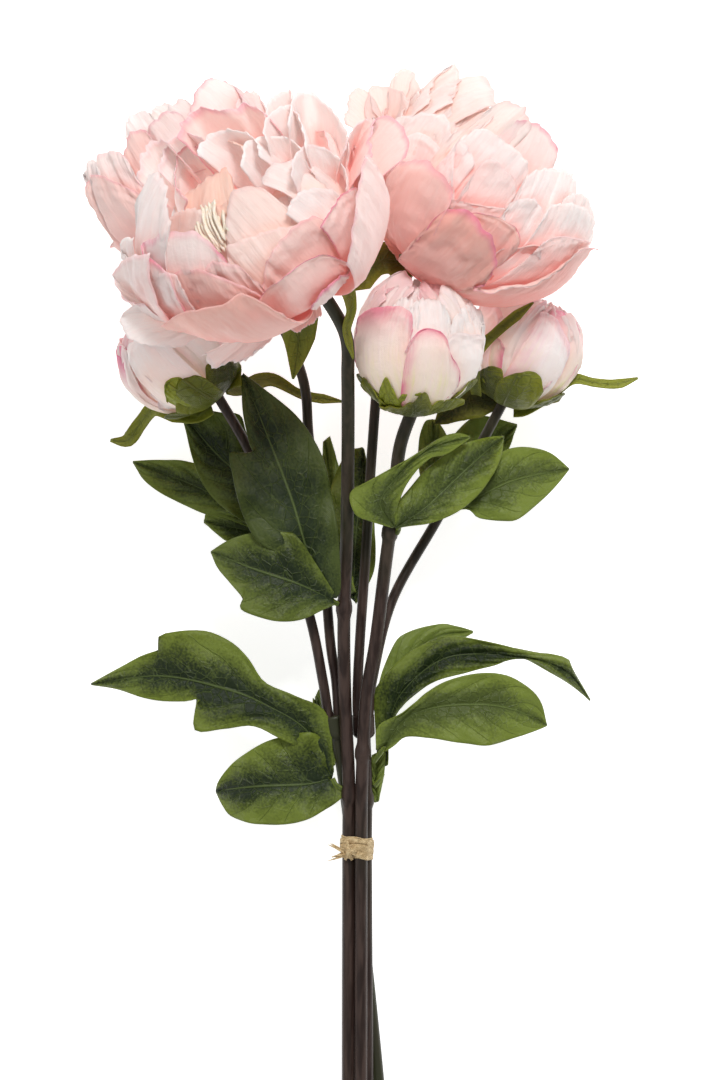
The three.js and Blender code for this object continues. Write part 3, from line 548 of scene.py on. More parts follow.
def shellPetal(flower, rim, shell, rng, opened=0.0, tone=0.5, blush=0.0, ruffle=0.8, crinkle=0.4, belly=1.2,
               curl=1.0, crease=0.7, inside=0.0, crumple=0.5, depth=0.0, lit=0.0):
    # directions from the middle are a quadratic blend of hub, equator and rim; the radius follows the bowl,
    # less inside for an opened petal, and swells by belly, curls out by curl at the rim, ripples by waves
    # that grow towards the rim, and has a few sharp creases and the dents of crumpled cloth; a petal seen
    # from inside leans out instead, on a parabola from the hub past a point near the middle to its rim; tone,
    # blush, lit and depth are handed on; lit, at least as high as inside, sets the share of painted glow, and
    # depth raises the painted crevice shade and glow at the root
    form = petalForm
    rows, cols = form["cells"]
    line = curve(rim, cols)
    offset = line - flower["middle"]
    radius = np.linalg.norm(offset, axis=1)
    rimWay = offset / radius[:, None]
    mid = unit(rimWay.mean(0))
    nearHub = mid @ flower["hub"]
    equator = unit(mid - flower["hub"] * nearHub) if nearHub < 0.2 else unit(mid + flower["hub"])
    spread = rimWay - mid
    rootWay = unit(flower["hub"] + form["rootSpread"] * spread)
    sideWay = unit(equator + form["sideSpread"] * spread)
    across = np.linspace(-1, 1, cols)[None, :]
    along = np.linspace(0, 1, rows)[:, None]
    notch = 1 + waves(rng, across, 0, form["notchWaves"], form["notch"]) * along**6
    w = (along * notch)[:, :, None]
    way = unit((1 - w) ** 2 * rootWay + 2 * w * (1 - w) * sideWay + w**2 * rimWay)
    shells = np.linspace(*np.broadcast_to(shell, 2), cols)
    own = shells * bowl(flower, way)
    stretch = radius / (shells * bowl(flower, rimWay))
    size = own * (1 + (stretch[None] - 1) * along**2) * (1 - opened * form["inset"] * (1 - along) ** 1.3)
    swell = belly * np.sin(math.pi * along) * (1 - across**2) + curl * ease((along - 0.7) / 0.3)
    swell = swell + waves(rng, across, along, form["ruffleWaves"], ruffle) * ease((along - 0.35) / 0.65)
    swell = swell + waves(rng, across, 3 * along, form["crinkleWaves"], crinkle) * along**4
    count = form["creases"]
    spots = rng.uniform(-0.9, 0.9, count) + rng.uniform(-0.4, 0.4, count) * (1 - along)
    widths = rng.uniform(*form["creaseWidth"], count)
    ridge = np.exp(-(((across[:, :, None] - spots[:, None, :]) / widths) ** 2))
    swell = swell + crease * (ridge * rng.uniform(-1, 1, count)).sum(-1) * ease((along - 0.3) / 0.5)
    halfRim = 0.5 * np.linalg.norm(np.diff(line, axis=0), axis=1).sum()
    x, y = across * halfRim * (0.4 + 0.6 * along), along * 1.5 * np.mean(shells)
    swell = swell + dents(rng, x, y, crumple) * ease((along - 0.15) / 0.4)
    points = flower["middle"] + way * (size + swell)[:, :, None]
    if inside:
        root = flower["middle"] + rootWay * (shells * bowl(flower, rootWay))[:, None]
        lower = flower["middle"] + (form["lean"] * equator + form["sideSpread"] * spread) * shells[:, None]
        leaning = (1 - w) ** 2 * root + 2 * w * (1 - w) * lower + w**2 * line
        outward = swell + form["leanBelly"] * np.sin(math.pi * along) * (1 - across**2)
        points = (1 - inside) * points + inside * (leaning + equator * outward[:, :, None])
    return {"points": points, "along": along, "across": across, "tone": tone, "blush": blush,
            "lit": max(inside, lit), "depth": depth}


creviceForm = {"flush": 2, "fade": 5, "ownRim": 0.8}  # mm, mm and the share taken off on the petal's own rim


def addCrevices(sheets):
    # crevice is 1 beside another petal's rim and fades over a few mm, less on the petal's own rim, and at
    # least the petal's depth at its root; it sets where a petal gets painted shade and painted glow in the
    # crevice tint
    rims = [sheet["points"][-1, ::2] for sheet in sheets]
    for n, sheet in enumerate(sheets):
        points, along = sheet["points"].reshape(-1, 3), sheet["along"]
        others = np.concatenate(rims[:n] + rims[n + 1:])
        square = (points**2).sum(1)[:, None] + (others**2).sum(1)[None] - 2 * points @ others.T
        gap = np.sqrt(np.maximum(square.min(1), 0)).reshape(sheet["points"].shape[:2])
        near = np.exp(-np.maximum(gap - creviceForm["flush"], 0) / creviceForm["fade"])
        near = near * (1 - creviceForm["ownRim"] * ease((along - 0.55) / 0.4))
        sheet["crevice"] = np.maximum(near, sheet["depth"] * np.minimum(1.3 * (1 - along), 1))


def petalsOf(flower, rows, grown, seed):
    # the petals drawn from the picture and the ones grown by angle at a share of the flower's reach, as
    # sheets
    rng = np.random.default_rng(seed)
    sheets = []
    for shell, tone, blush, pixels, *more in rows:
        shape = dict(more[0]) if more else {}
        rim = rimFromPicture(flower, pixels, shell, shape.pop("lift", 0))
        sheets.append(shellPetal(flower, rim, shell, rng, tone=tone, blush=blush, **shape))
    for share, tip, half, drop, turns, tone, opened in grown:
        shell = share * flower["reach"]
        for turn in turns:
            rim = rimGrown(flower, shell + rng.uniform(-1, 1), turn + rng.uniform(-4, 4), half,
                           tip + rng.uniform(-5, 5), drop)
            own = tone + rng.uniform(-0.15, 0.15)
            stained = rng.uniform(0, 0.6)
            sheets.append(shellPetal(flower, rim, shell, rng, opened, own, stained, ruffle=1.4))
    return sheets


# each flower's middle, base and reach in mm, and the turn in degrees where its bowl starts to narrow
frontBloom = flowerOf((-42, 134, 146), (-23, 114, 123), 60, 62)
rightBloom = flowerOf((50, 158, 66), (25, 126, 58), 55)
leftBloom = flowerOf((-74, 162, 52), (-54, 136, 53), 49)
centreBud = flowerOf((26, 89, 78), (25, 60, 71), 28)
rightBud = flowerOf((77, 88, 38), (67, 64, 34), 24)
leftBud = flowerOf((-81, 82, 55), (-65, 66, 52), 27)

# rows: shell radius in mm, tone, blush, rim in pixels of the picture from one side over the tip to the other,
# and what is special about the shape
# lit in a row's shape is the share of painted glow a petal gets
frontRows = {
    "guard": [
        (65, 0.45, 0.6, [(368, 166), (369, 140), (374, 121), (386, 117), (397, 123), (404, 134), (407, 146),
            (404, 157), (396, 165)], dict(inside=0.7, depth=1.0)),
        (62, 0.5, 0.2, [(344, 150), (347, 138), (353, 128), (361, 122), (369, 120), (376, 126)],
            dict(inside=0.7, depth=1.0)),
        (60, 0.95, 0.1, [(286, 124), (289, 108), (293, 98), (300, 93), (312, 95), (323, 104), (334, 115),
            (343, 130), (347, 148)], dict(inside=0.9, ruffle=0.5)),
        (67, 0.45, 0.4, [(345, 264), (350, 240), (354, 210), (358, 185), (363, 158), (374, 163)],
            dict(depth=0.5)),
        (59, 0.45, 0.9, [(352, 268), (343, 274), (330, 282), (321, 290), (314, 298), (310, 308)]),
        (61, 0.12, 0.15, [(164, 323), (177, 314), (192, 307), (208, 304), (223, 302), (231, 297), (240, 292),
            (250, 293), (262, 299), (276, 307), (292, 318)], dict(curl=2.6, crease=1.2)),
        (63, 1.2, 0.1, [(203, 352), (208, 359), (217, 363), (228, 362), (238, 360), (249, 355), (260, 346),
            (268, 338)], dict(opened=0.2, lift=-14, ruffle=1.2, crinkle=0.9)),
        (66, 1.1, 0.1, [(137, 302), (126, 312), (122, 320), (128, 333), (134, 341), (146, 343), (162, 344),
            (186, 343)], dict(opened=0.6, lift=-10, crinkle=0.5, crease=1.4)),
        (62, 0.75, 0.3, [(152, 252), (133, 256), (120, 267), (116, 277), (118, 287), (124, 297), (148, 304)],
            dict(lift=-5, crinkle=0.6)),
        (60, 0.9, 0.0, [(136, 236), (126, 240), (122, 248), (127, 255), (136, 260)], dict(opened=0.3,
            lift=-8)),
        (62, 0.8, 0.1, [(262, 118), (266, 104), (276, 95), (284, 92), (289, 93), (292, 106)],
            dict(inside=1.0, lift=-8)),
    ],
    "outer": [
        (56, 0.3, 1.0, [(256, 304), (263, 294), (274, 282), (287, 270), (302, 262), (314, 255), (324, 254),
            (336, 258), (346, 263), (352, 271)], dict(curl=2.2, ruffle=1.5)),
        (54, 0.4, 0.1, [(288, 326), (294, 330), (303, 327), (315, 317), (320, 310)]),
        (57, 0.6, 0.1, [(148, 290), (147, 280), (152, 274), (162, 272), (173, 273), (182, 282), (186, 296)]),
        (53, 0.6, 0.9, [(318, 228), (323, 217), (329, 208), (337, 198), (347, 191), (356, 190), (361, 200)],
            dict(curl=2.2)),
        (57, 1.0, 0.1, [(262, 140), (263, 124), (268, 116), (279, 108), (287, 105), (296, 119), (301, 131),
            (304, 150)], dict(inside=1.0, ruffle=0.5)),
        (56, 0.55, 0.6, [(176, 138), (181, 124), (190, 115), (208, 111), (225, 112), (241, 107), (250, 108),
            (262, 113), (270, 122)], dict(inside=1.0, ruffle=0.5)),
        (55, 0.8, 0.1, [(146, 196), (147, 184), (152, 177), (160, 176), (167, 187), (170, 205), (171, 222),
            (170, 236)], dict(crinkle=0.15, opened=0.2, crumple=0.9)),
    ],
    "middle": [
        (53, 0.25, 0.4, [(170, 296), (172, 280), (181, 270), (202, 269), (218, 274), (229, 280), (245, 286),
            (259, 293), (268, 300)]),
        (50.5, 0.35, 0.3, [(205, 270), (214, 261), (227, 262), (238, 265), (248, 273), (262, 285)]),
        (49.5, 0.3, 0.4, [(262, 296), (263, 280), (265, 267), (270, 254), (278, 243), (288, 231), (300, 222),
            (313, 217), (322, 220)], dict(crease=1.8, crinkle=0.4, depth=0.4)),
        ((58, 48), 0.72, 0.9, [(172, 272), (157, 262), (142, 246), (150, 240), (161, 234), (171, 231),
            (182, 231), (196, 233), (204, 238), (212, 244), (220, 251), (228, 260)]),
        (55, 1.0, 0.2, [(291, 178), (292, 158), (303, 147), (321, 148), (336, 158), (343, 174), (345, 190)],
            dict(inside=0.6, ruffle=0.5)),
        (54, 0.8, 0.3, [(138, 178), (141, 166), (143, 154), (152, 143), (163, 140), (172, 146)],
            dict(inside=0.8)),
        (51, 1.1, 0.3, [(160, 172), (163, 156), (168, 144), (180, 137), (192, 135), (203, 138)],
            dict(inside=0.9)),
        (51, 1.0, 0.0, [(238, 166), (243, 146), (258, 138), (276, 137), (292, 143), (304, 162)],
            dict(inside=0.9, ruffle=0.5)),
        (53, 0.9, 0.1, [(196, 156), (203, 139), (218, 132), (236, 132), (250, 139), (256, 156)],
            dict(inside=1.0, ruffle=0.5)),
    ],
    "inner": [
        (46.5, 0.35, 0.2, [(228, 264), (228, 248), (240, 240), (251, 236), (264, 232), (277, 229),
            (290, 226), (300, 222)]),
        (48, 0.8, 0.1, [(285, 215), (291, 200), (300, 193), (315, 189), (330, 190), (338, 196)]),
        (46, 0.65, 0.2, [(262, 185), (267, 172), (277, 164), (287, 161), (300, 163), (309, 173), (316, 182),
            (330, 193)]),
        (43, 0.35, 0.2, [(228, 254), (227, 225), (227, 209), (230, 197), (240, 190), (252, 188), (263, 190),
            (275, 198), (286, 212), (291, 226)], dict(crease=1.0)),
        # tone and lit are raised here to paint this petal lighter where it lies in shade
        (45, 1.0, 0.8, [(188, 200), (181, 192), (177, 180), (177, 170), (179, 160), (187, 148), (202, 147),
            (212, 150)], dict(inside=0.5, lit=1.0)),
        (47, 0.2, 0.1, [(204, 152), (208, 143), (222, 141), (236, 146), (243, 155)], dict(inside=0.9)),
    ],
    "heart": [
        (38, 0.1, 0.1, [(190, 206), (190, 194), (208, 179), (225, 170), (230, 174), (233, 182), (229, 200),
            (217, 207)], dict(opened=0.2)),
        (40, 0.35, 0.1, [(172, 226), (176, 216), (188, 210), (200, 211), (206, 222)]),
    ],
}
rightRows = {
    "guard": [
        (60, 0.1, 0.9, [(430, 228), (434, 219), (447, 210), (459, 208), (472, 214), (483, 225), (491, 235),
            (496, 249), (495, 265), (490, 276), (480, 281), (470, 283)], dict(curl=0.8, crease=2.0,
            ruffle=1.6, crumple=0.9, depth=0.5)),
        (62, 0.3, 0.5, [(473, 286), (487, 288), (502, 286), (524, 283), (540, 276), (556, 268), (572, 254),
            (583, 246), (594, 248)], dict(curl=2.4, depth=0.9)),
        (54, 0.0, 0.2, [(428, 272), (410, 266), (396, 254), (386, 240), (383, 228), (387, 222)],
            dict(lift=-6, depth=1.0, crumple=0.2, ruffle=0.3)),
        (59, 0.55, 0.2, [(540, 256), (541, 240), (560, 236), (580, 238), (589, 242)], dict(lit=0.4)),
        (57, 0.2, 0.8, [(462, 222), (467, 214), (480, 213), (497, 217), (507, 222), (516, 228), (519, 240),
            (516, 252)], dict(crease=1.4)),
    ],
    "outer": [
        ((46, 60), 0.28, 0.5, [(392, 217), (390, 190), (392, 173), (404, 163), (421, 160), (434, 165),
            (445, 176), (450, 188), (451, 202), (444, 214)], dict(curl=0.8, crease=1.8, ruffle=1.8,
            crumple=0.7, depth=0.9)),
        (55, 0.3, 0.1, [(488, 268), (490, 254), (503, 246), (518, 245), (529, 242), (540, 246), (550, 259),
            (556, 269)], dict(curl=3.2, depth=0.5)),
        (54, 0.95, 0.1, [(504, 226), (506, 208), (515, 200), (529, 198), (535, 200), (543, 214), (548, 228)],
            dict(crinkle=0.8, lit=0.6)),
        (56, 1.0, 0.0, [(540, 222), (545, 208), (558, 203), (572, 204), (586, 210), (592, 224), (591, 238)],
            dict(lit=0.8, crinkle=0.7)),
    ],
    "middle": [
        (52, 0.6, 0.1, [(470, 200), (469, 187), (477, 169), (486, 160), (494, 161), (507, 172), (515, 181),
            (514, 195), (503, 208)], dict(crease=1.4, lit=0.5)),
        (53, 0.5, 0.1, [(453, 212), (452, 200), (470, 203), (488, 206), (505, 208), (515, 214)],
            dict(lit=0.3)),
        (52, 1.0, 0.0, [(520, 192), (523, 180), (534, 171), (550, 168), (564, 172), (574, 182), (573, 197)],
            dict(lit=0.9, crinkle=0.7)),
        (50.5, 0.85, 0.0, [(456, 160), (459, 142), (470, 133), (486, 132), (502, 140), (515, 151),
            (526, 163), (527, 176)], dict(lit=0.8)),
        (52.5, 0.8, 0.1, [(455, 206), (454, 175), (456, 150), (462, 141), (470, 150), (475, 166)],
            dict(lit=0.8)),
        (49, 0.5, 0.7, [(494, 145), (497, 131), (505, 124), (518, 121), (534, 124), (545, 133), (553, 144),
            (555, 157), (549, 166)], dict(lit=0.6)),
        (47, 0.9, 0.0, [(400, 166), (403, 150), (412, 138), (421, 133), (432, 140), (441, 150), (446, 162)],
            dict(lit=0.8, opened=0.5)),
        (54, 0.95, 0.0, [(560, 205), (566, 196), (577, 193), (586, 200), (592, 212)], dict(lit=0.8)),
    ],
    "inner": [
        (48, 0.55, 0.1, [(450, 150), (455, 134), (472, 128), (491, 128), (503, 138), (508, 150)]),
        (47.5, 0.75, 0.1, [(390, 142), (393, 128), (405, 119), (421, 115), (440, 115), (449, 123),
            (452, 138)], dict(opened=0.5)),
        (49, 0.45, 0.3, [(492, 122), (495, 108), (505, 103), (516, 106), (527, 118), (532, 130)]),
        (46.5, 0.5, 0.2, [(453, 104), (459, 85), (475, 80), (487, 83), (493, 93), (496, 108)],
            dict(opened=0.5)),
        (45, 0.55, 0.2, [(436, 146), (440, 132), (448, 124), (457, 126), (462, 138)], dict(opened=0.5)),
        (46, 0.5, 0.2, [(367, 118), (369, 100), (371, 90), (378, 87), (391, 90), (404, 94), (410, 108)],
            dict(opened=0.5)),
    ],
    "heart": [
        (46, 0.5, 0.1, [(430, 104), (433, 88), (438, 80), (448, 72), (457, 67), (459, 80), (456, 94)],
            dict(opened=0.5)),
        (44.5, 0.55, 0.1, [(390, 100), (394, 80), (405, 72), (414, 73), (419, 84), (422, 100)],
            dict(opened=0.5)),
        (44, 0.55, 0.1, [(348, 126), (349, 108), (354, 95), (362, 90), (370, 95), (373, 112)],
            dict(opened=0.4)),
        (44, 0.5, 0.0, [(405, 118), (412, 100), (428, 92), (444, 94), (454, 106)], dict(opened=0.4)),
        (43, 0.5, 0.0, [(452, 118), (458, 102), (470, 97), (484, 104), (493, 118)], dict(opened=0.4)),
        (42, 0.4, 0.1, [(462, 124), (474, 114), (488, 114), (498, 124)], dict(opened=0.3)),
    ],
}
leftRows = {
    "guard": [
        (52, 0.3, 0.4, [(88, 192), (90, 178), (97, 175), (106, 177), (116, 181), (129, 188), (141, 194),
            (150, 204)], dict(crease=1.6, belly=2.4)),
        (49.5, 0.75, 0.4, [(98, 174), (99, 163), (103, 155), (111, 151), (121, 153), (128, 159), (134, 172)]),
        (50.5, 0.85, 0.0, [(89, 180), (88, 170), (90, 162), (97, 161), (101, 170)], dict(crinkle=0.9)),
        (48, 0.65, 0.5, [(188, 118), (193, 100), (200, 88), (215, 81), (230, 85), (238, 96), (241, 108)],
            dict(opened=0.3)),
        (49, 0.6, 0.2, [(234, 108), (239, 98), (252, 94), (260, 101), (266, 114)], dict(opened=0.3)),
    ],
    "outer": [
        (48, 0.3, 0.7, [(124, 170), (126, 150), (130, 138), (138, 131), (146, 131), (152, 140), (156, 156)]),
        (46.5, 0.6, 0.5, [(147, 144), (150, 129), (156, 120), (166, 115), (175, 114), (183, 118),
            (186, 132)]),
    ],
    "middle": [
        (45, 0.9, 0.1, [(125, 136), (130, 122), (138, 114), (147, 112), (155, 120), (158, 134)],
            dict(opened=0.2)),
        (45, 0.8, 0.1, [(164, 122), (169, 108), (177, 102), (186, 103), (192, 114)], dict(opened=0.2)),
    ],
    "inner": [(42, 0.7, 0.1, [(150, 122), (156, 108), (166, 104), (174, 108), (178, 118)], dict(opened=0.3))],
    "heart": [],
}
farSide = (-102, -62, -22, 18, 58, 98)  # turns about a flower's axis from its back, degrees
# grown layers: share of the flower's reach, tip angle, half width and shoulder drop in degrees, turns, tone
# and how far it is opened
grownOutside = {
    "guard": [(0.96, 92, 31, 16, farSide, 0.5, 0.1)],
    "outer": [(0.90, 82, 30, 16, [turn + 20 for turn in farSide[:-1]], 0.5, 0.1)],
    "middle": [(0.82, 74, 32, 16, farSide, 0.5, 0.1)]}
openHeart = {
    "inner": [(0.62, 46, 40, 14, range(0, 360, 60), 0.7, 0.1)],
    "heart": [(0.46, 36, 42, 14, range(20, 380, 72), 0.4, 0.1)]}
closedHeart = {
    "inner": [(0.70, 52, 38, 14, range(0, 360, 60), 0.45, 0.1),
              (0.60, 36, 40, 12, range(30, 390, 72), 0.35, 0.1)],
    "heart": [(0.50, 20, 46, 14, range(20, 380, 72), 0.3, 0.0),
              (0.38, 6, 60, 14, range(0, 360, 90), 0.2, 0.0)]}
budGrown = {
    "outer": [(0.96, 28, 44, 12, (-110, -45, 20, 85), 0.7, 0)],
    "inner": [(0.88, 18, 46, 12, range(0, 360, 72), 0.75, 0), (0.76, 3, 60, 14, range(20, 380, 90), 0.8, 0)]}


def layersOf(flower, rows, grown, seed):
    # a flower's layers of petals, each with a seed of its own, with the crevices worked out between all of
    # them
    layers = {layer: petalsOf(flower, rows[layer], grown[layer], seed + n) for n, layer in enumerate(grown)}
    addCrevices([sheet for sheets in layers.values() for sheet in sheets])
    return layers.items()


blooms = {"front": (frontBloom, frontRows, grownOutside | openHeart, 11),
          "right": (rightBloom, rightRows, grownOutside | closedHeart, 23),
          "left": (leftBloom, leftRows, grownOutside | closedHeart, 37)}
for label, bloom in blooms.items():
    for layer, sheets in layersOf(*bloom):
        cloth, slot = (heartClothPaintedLight, "heart_fabric") if layer in openHeart else (petalCloth, "petal_fabric")
        nodes = [f"{label}_bloom_{layer}_petals"]
        buildPiece(f"{label}_bloom_{layer}_cloth", sheets, cloth, nodes, petalForm["wall"])
print("blooms made")

budRows = {
    "centre": {
        "outer": [
            (29.4, 0.55, 0.9, [(356, 366), (358, 338), (366, 312), (378, 309), (392, 308), (404, 309),
                (412, 315), (413, 331)]),
            (30.4, 0.4, 1.0, [(405, 352), (411, 341), (420, 331), (431, 329), (442, 334), (448, 345),
                (451, 356), (457, 367), (458, 379), (453, 391), (445, 398)]),
            (28.8, 0.8, 0.1, [(444, 345), (452, 334), (467, 334), (479, 337), (480, 352), (478, 368)]),
        ],
        "inner": [
            (26.6, 0.85, 0.3, [(362, 322), (367, 310), (376, 299), (390, 282), (400, 277), (408, 275),
                (412, 283), (414, 295)], dict(opened=0.4)),
            (27.8, 1.0, 0.0, [(406, 332), (410, 312), (422, 299), (436, 301), (446, 312), (450, 330)],
                dict(crumple=0.6, crinkle=0.9)),
            (27.5, 0.95, 0.1, [(436, 312), (440, 292), (450, 287), (460, 290), (466, 300), (466, 314)],
                dict(opened=0.3, crumple=0.6, crinkle=0.8)),
            (25, 0.6, 0.5, [(419, 300), (420, 287), (426, 283), (431, 281), (434, 290)], dict(opened=0.3)),
            (27.3, 1.0, 0.0, [(446, 338), (453, 318), (464, 306), (475, 312), (480, 334)], dict(crumple=0.6,
                crinkle=0.9)),
            (27.2, 1.0, 0.0, [(392, 318), (396, 306), (406, 300), (418, 306), (420, 320)], dict(crumple=0.6,
                crinkle=0.9)),
        ],
    },
    "right": {
        "outer": [
            (24, 0.95, 0.5, [(540, 312), (548, 314), (557, 323), (565, 336), (567, 350), (563, 365),
                (555, 375), (544, 386)]),
            (23.5, 0.3, 1.0, [(548, 318), (550, 313), (560, 313), (573, 322), (579, 335), (577, 348),
                (572, 362), (556, 376)], dict(lift=-3)),
            (25, 1.0, 0.4, [(482, 335), (476, 322), (475, 313), (480, 308), (491, 306), (500, 309),
                (504, 318)], dict(lit=1.0)),
        ],
        "inner": [
            (22, 1.0, 0.1, [(500, 330), (506, 308), (520, 300), (534, 300), (545, 310)]),
            (23, 0.2, 0.9, [(480, 360), (480, 345), (488, 336), (499, 340), (505, 350)]),
        ],
    },
    "left": {
        "outer": [
            # lit 1.0 gives this petal full painted glow, lightening it where the front bloom shades it
            (27, 1.0, 0.1, [(167, 382), (150, 376), (133, 363), (130, 350), (134, 342), (147, 338),
                (165, 338)], dict(lit=1.0)),
            (26, 0.5, 1.0, [(157, 402), (146, 395), (137, 387), (130, 366), (119, 354), (120, 347),
                (128, 347)], dict(lift=-4)),
        ],
        "inner": [
            (25, 0.95, 0.3, [(167, 410), (156, 398), (149, 380), (156, 374), (168, 382)]),
            (24, 0.2, 0.8, [(154, 398), (143, 385), (138, 370), (145, 366), (152, 378)], dict(lift=-4)),
        ],
    },
}
buds = {"centre": (centreBud, 51), "right": (rightBud, 57), "left": (leftBud, 63)}
for label, (bud, seed) in buds.items():
    for layer, sheets in layersOf(bud, budRows[label], budGrown, seed):
        nodes = [f"{label}_bud_{layer}_petals"] + ([f"{label}_bud_heart"] if layer == "inner" else [])
        buildPiece(f"{label}_bud_{layer}_cloth", sheets, budCloth, nodes, petalForm["wall"])
print("buds made")


stamenForm = {"radius": 0.7, "head": 0.25, "headFrom": 0.7, "tipFrom": 0.93, "bow": 2.5, "stray": 0.8,
              "sides": 6, "count": 11, "side": (0.2, 0.3, 1)}  # mm, shares of the length and counts


def stamenRadius(share, line):
    # a thread that swells to a head near its end and narrows at its tip: a step up, then a step down
    form = stamenForm
    swell = form["head"] * ease((share - form["headFrom"]) / 0.2)
    return form["radius"] + swell - form["radius"] * ease((share - form["tipFrom"]) / 0.07)


def stamensOf(flower, rng, starts, ends, shells, count, spread):
    # threads from points of the picture on an inner shell to points on an outer one, bowed towards the open
    # side
    form = stamenForm
    first, last = rimFromPicture(flower, starts, shells[0]), rimFromPicture(flower, ends, shells[1])
    sheets = []
    for n in range(count):
        start = first[n % len(first)] + rng.normal(0, spread, 3)
        end = last[n % len(last)] + rng.normal(0, spread, 3)
        bend = 0.5 * (start + end) + rng.normal(0, form["stray"], 3) + form["bow"] * flower["axis"]
        sheet = tube([start, bend, end], stamenRadius, form["sides"], form["count"], form["side"])
        sheet["tone"] = rng.uniform(0, 1)
        sheets.append(sheet)
    return sheets


# where the threads start and end in the picture, their two shells in mm, how many, and their scatter in mm
openings = {
    "front": (
        frontBloom, [(196, 222), (199, 214), (204, 208), (209, 205), (215, 205), (221, 209), (202, 217)],
        [(213, 248), (218, 252), (222, 250), (225, 246), (227, 239), (228, 232), (224, 253)],
        (38, 43), 26, 1.0),
    "right": (rightBloom, [(505, 120), (512, 126)], [(512, 118), (520, 126), (514, 130)], (24, 29), 16, 1.5),
    "left": (leftBloom, [(160, 160), (166, 168)], [(146, 144), (152, 138), (160, 140)], (20, 30), 16, 2.0)}
stamenRng = np.random.default_rng(5)
for label, (flower, *where) in openings.items():
    threads = stamensOf(flower, stamenRng, *where)
    buildPiece(f"{label}_bloom_threads", threads, stamenThread, [f"{label}_bloom_stamens"])
print("stamens made")

# leaves: a sheet through its left edge, its midrib and its right edge
leafForm = {"cells": (46, 25), "fold": 0.16, "puff": 1.7, "ribSink": 0.5, "waveCounts": (2, 3, 5),
            "wall": 0.45}
stalkForm = {"radius": 1.2, "sides": 10, "count": 24, "tone": 0.4}


def leafEdge(pixels, line, lift):
    # a smooth curve through pixels of the picture, at the rib's heights plus lift, that rises by fold times
    # its distance from the rib
    spots = curve(pixels, len(line))
    edge = seen(spots[:, 0], spots[:, 1], line[:, 2] + lift)
    edge[:, 2] += leafForm["fold"] * np.linalg.norm(edge - line, axis=1)
    return edge


def leafSheet(rng, mid, left, right, tone=0.0, lift=0.0, wave=2.2):
    # across the leaf a parabola runs through the edge, the rib and the other edge; the cloth puffs between
    # side veins, waves near its margin and sinks along its rib
    rows, cols = leafForm["cells"]
    rib = np.array(mid, float)
    line = curve(seen(rib[:, 0], rib[:, 1], rib[:, 2]), rows)
    a, b = leafEdge(left, line, lift), leafEdge(right, line, lift)
    u = np.linspace(-1, 1, cols)[None, :, None]
    points = line[:, None] * (1 - u**2) + a[:, None] * (u**2 - u) / 2 + b[:, None] * (u**2 + u) / 2
    along, across = np.linspace(0, 1, rows)[:, None], np.linspace(-1, 1, cols)[None, :]
    side, ends = np.abs(across), np.sin(math.pi * along) ** 0.5
    lobes = np.abs(np.sin(leafVeins["radians"] * (along - leafVeins["slant"] * side)))
    puff = leafForm["puff"] * lobes * np.sin(math.pi * np.minimum(side * 1.1, 1)) * ends
    ripple = waves(rng, np.sign(across) * 0.6 + along * 2, 0, leafForm["waveCounts"], wave) * side**3 * ends
    points[:, :, 2] += puff + ripple - leafForm["ribSink"] * ease(1 - side * 6)
    return {"points": points, "along": along, "across": across, "tone": tone}


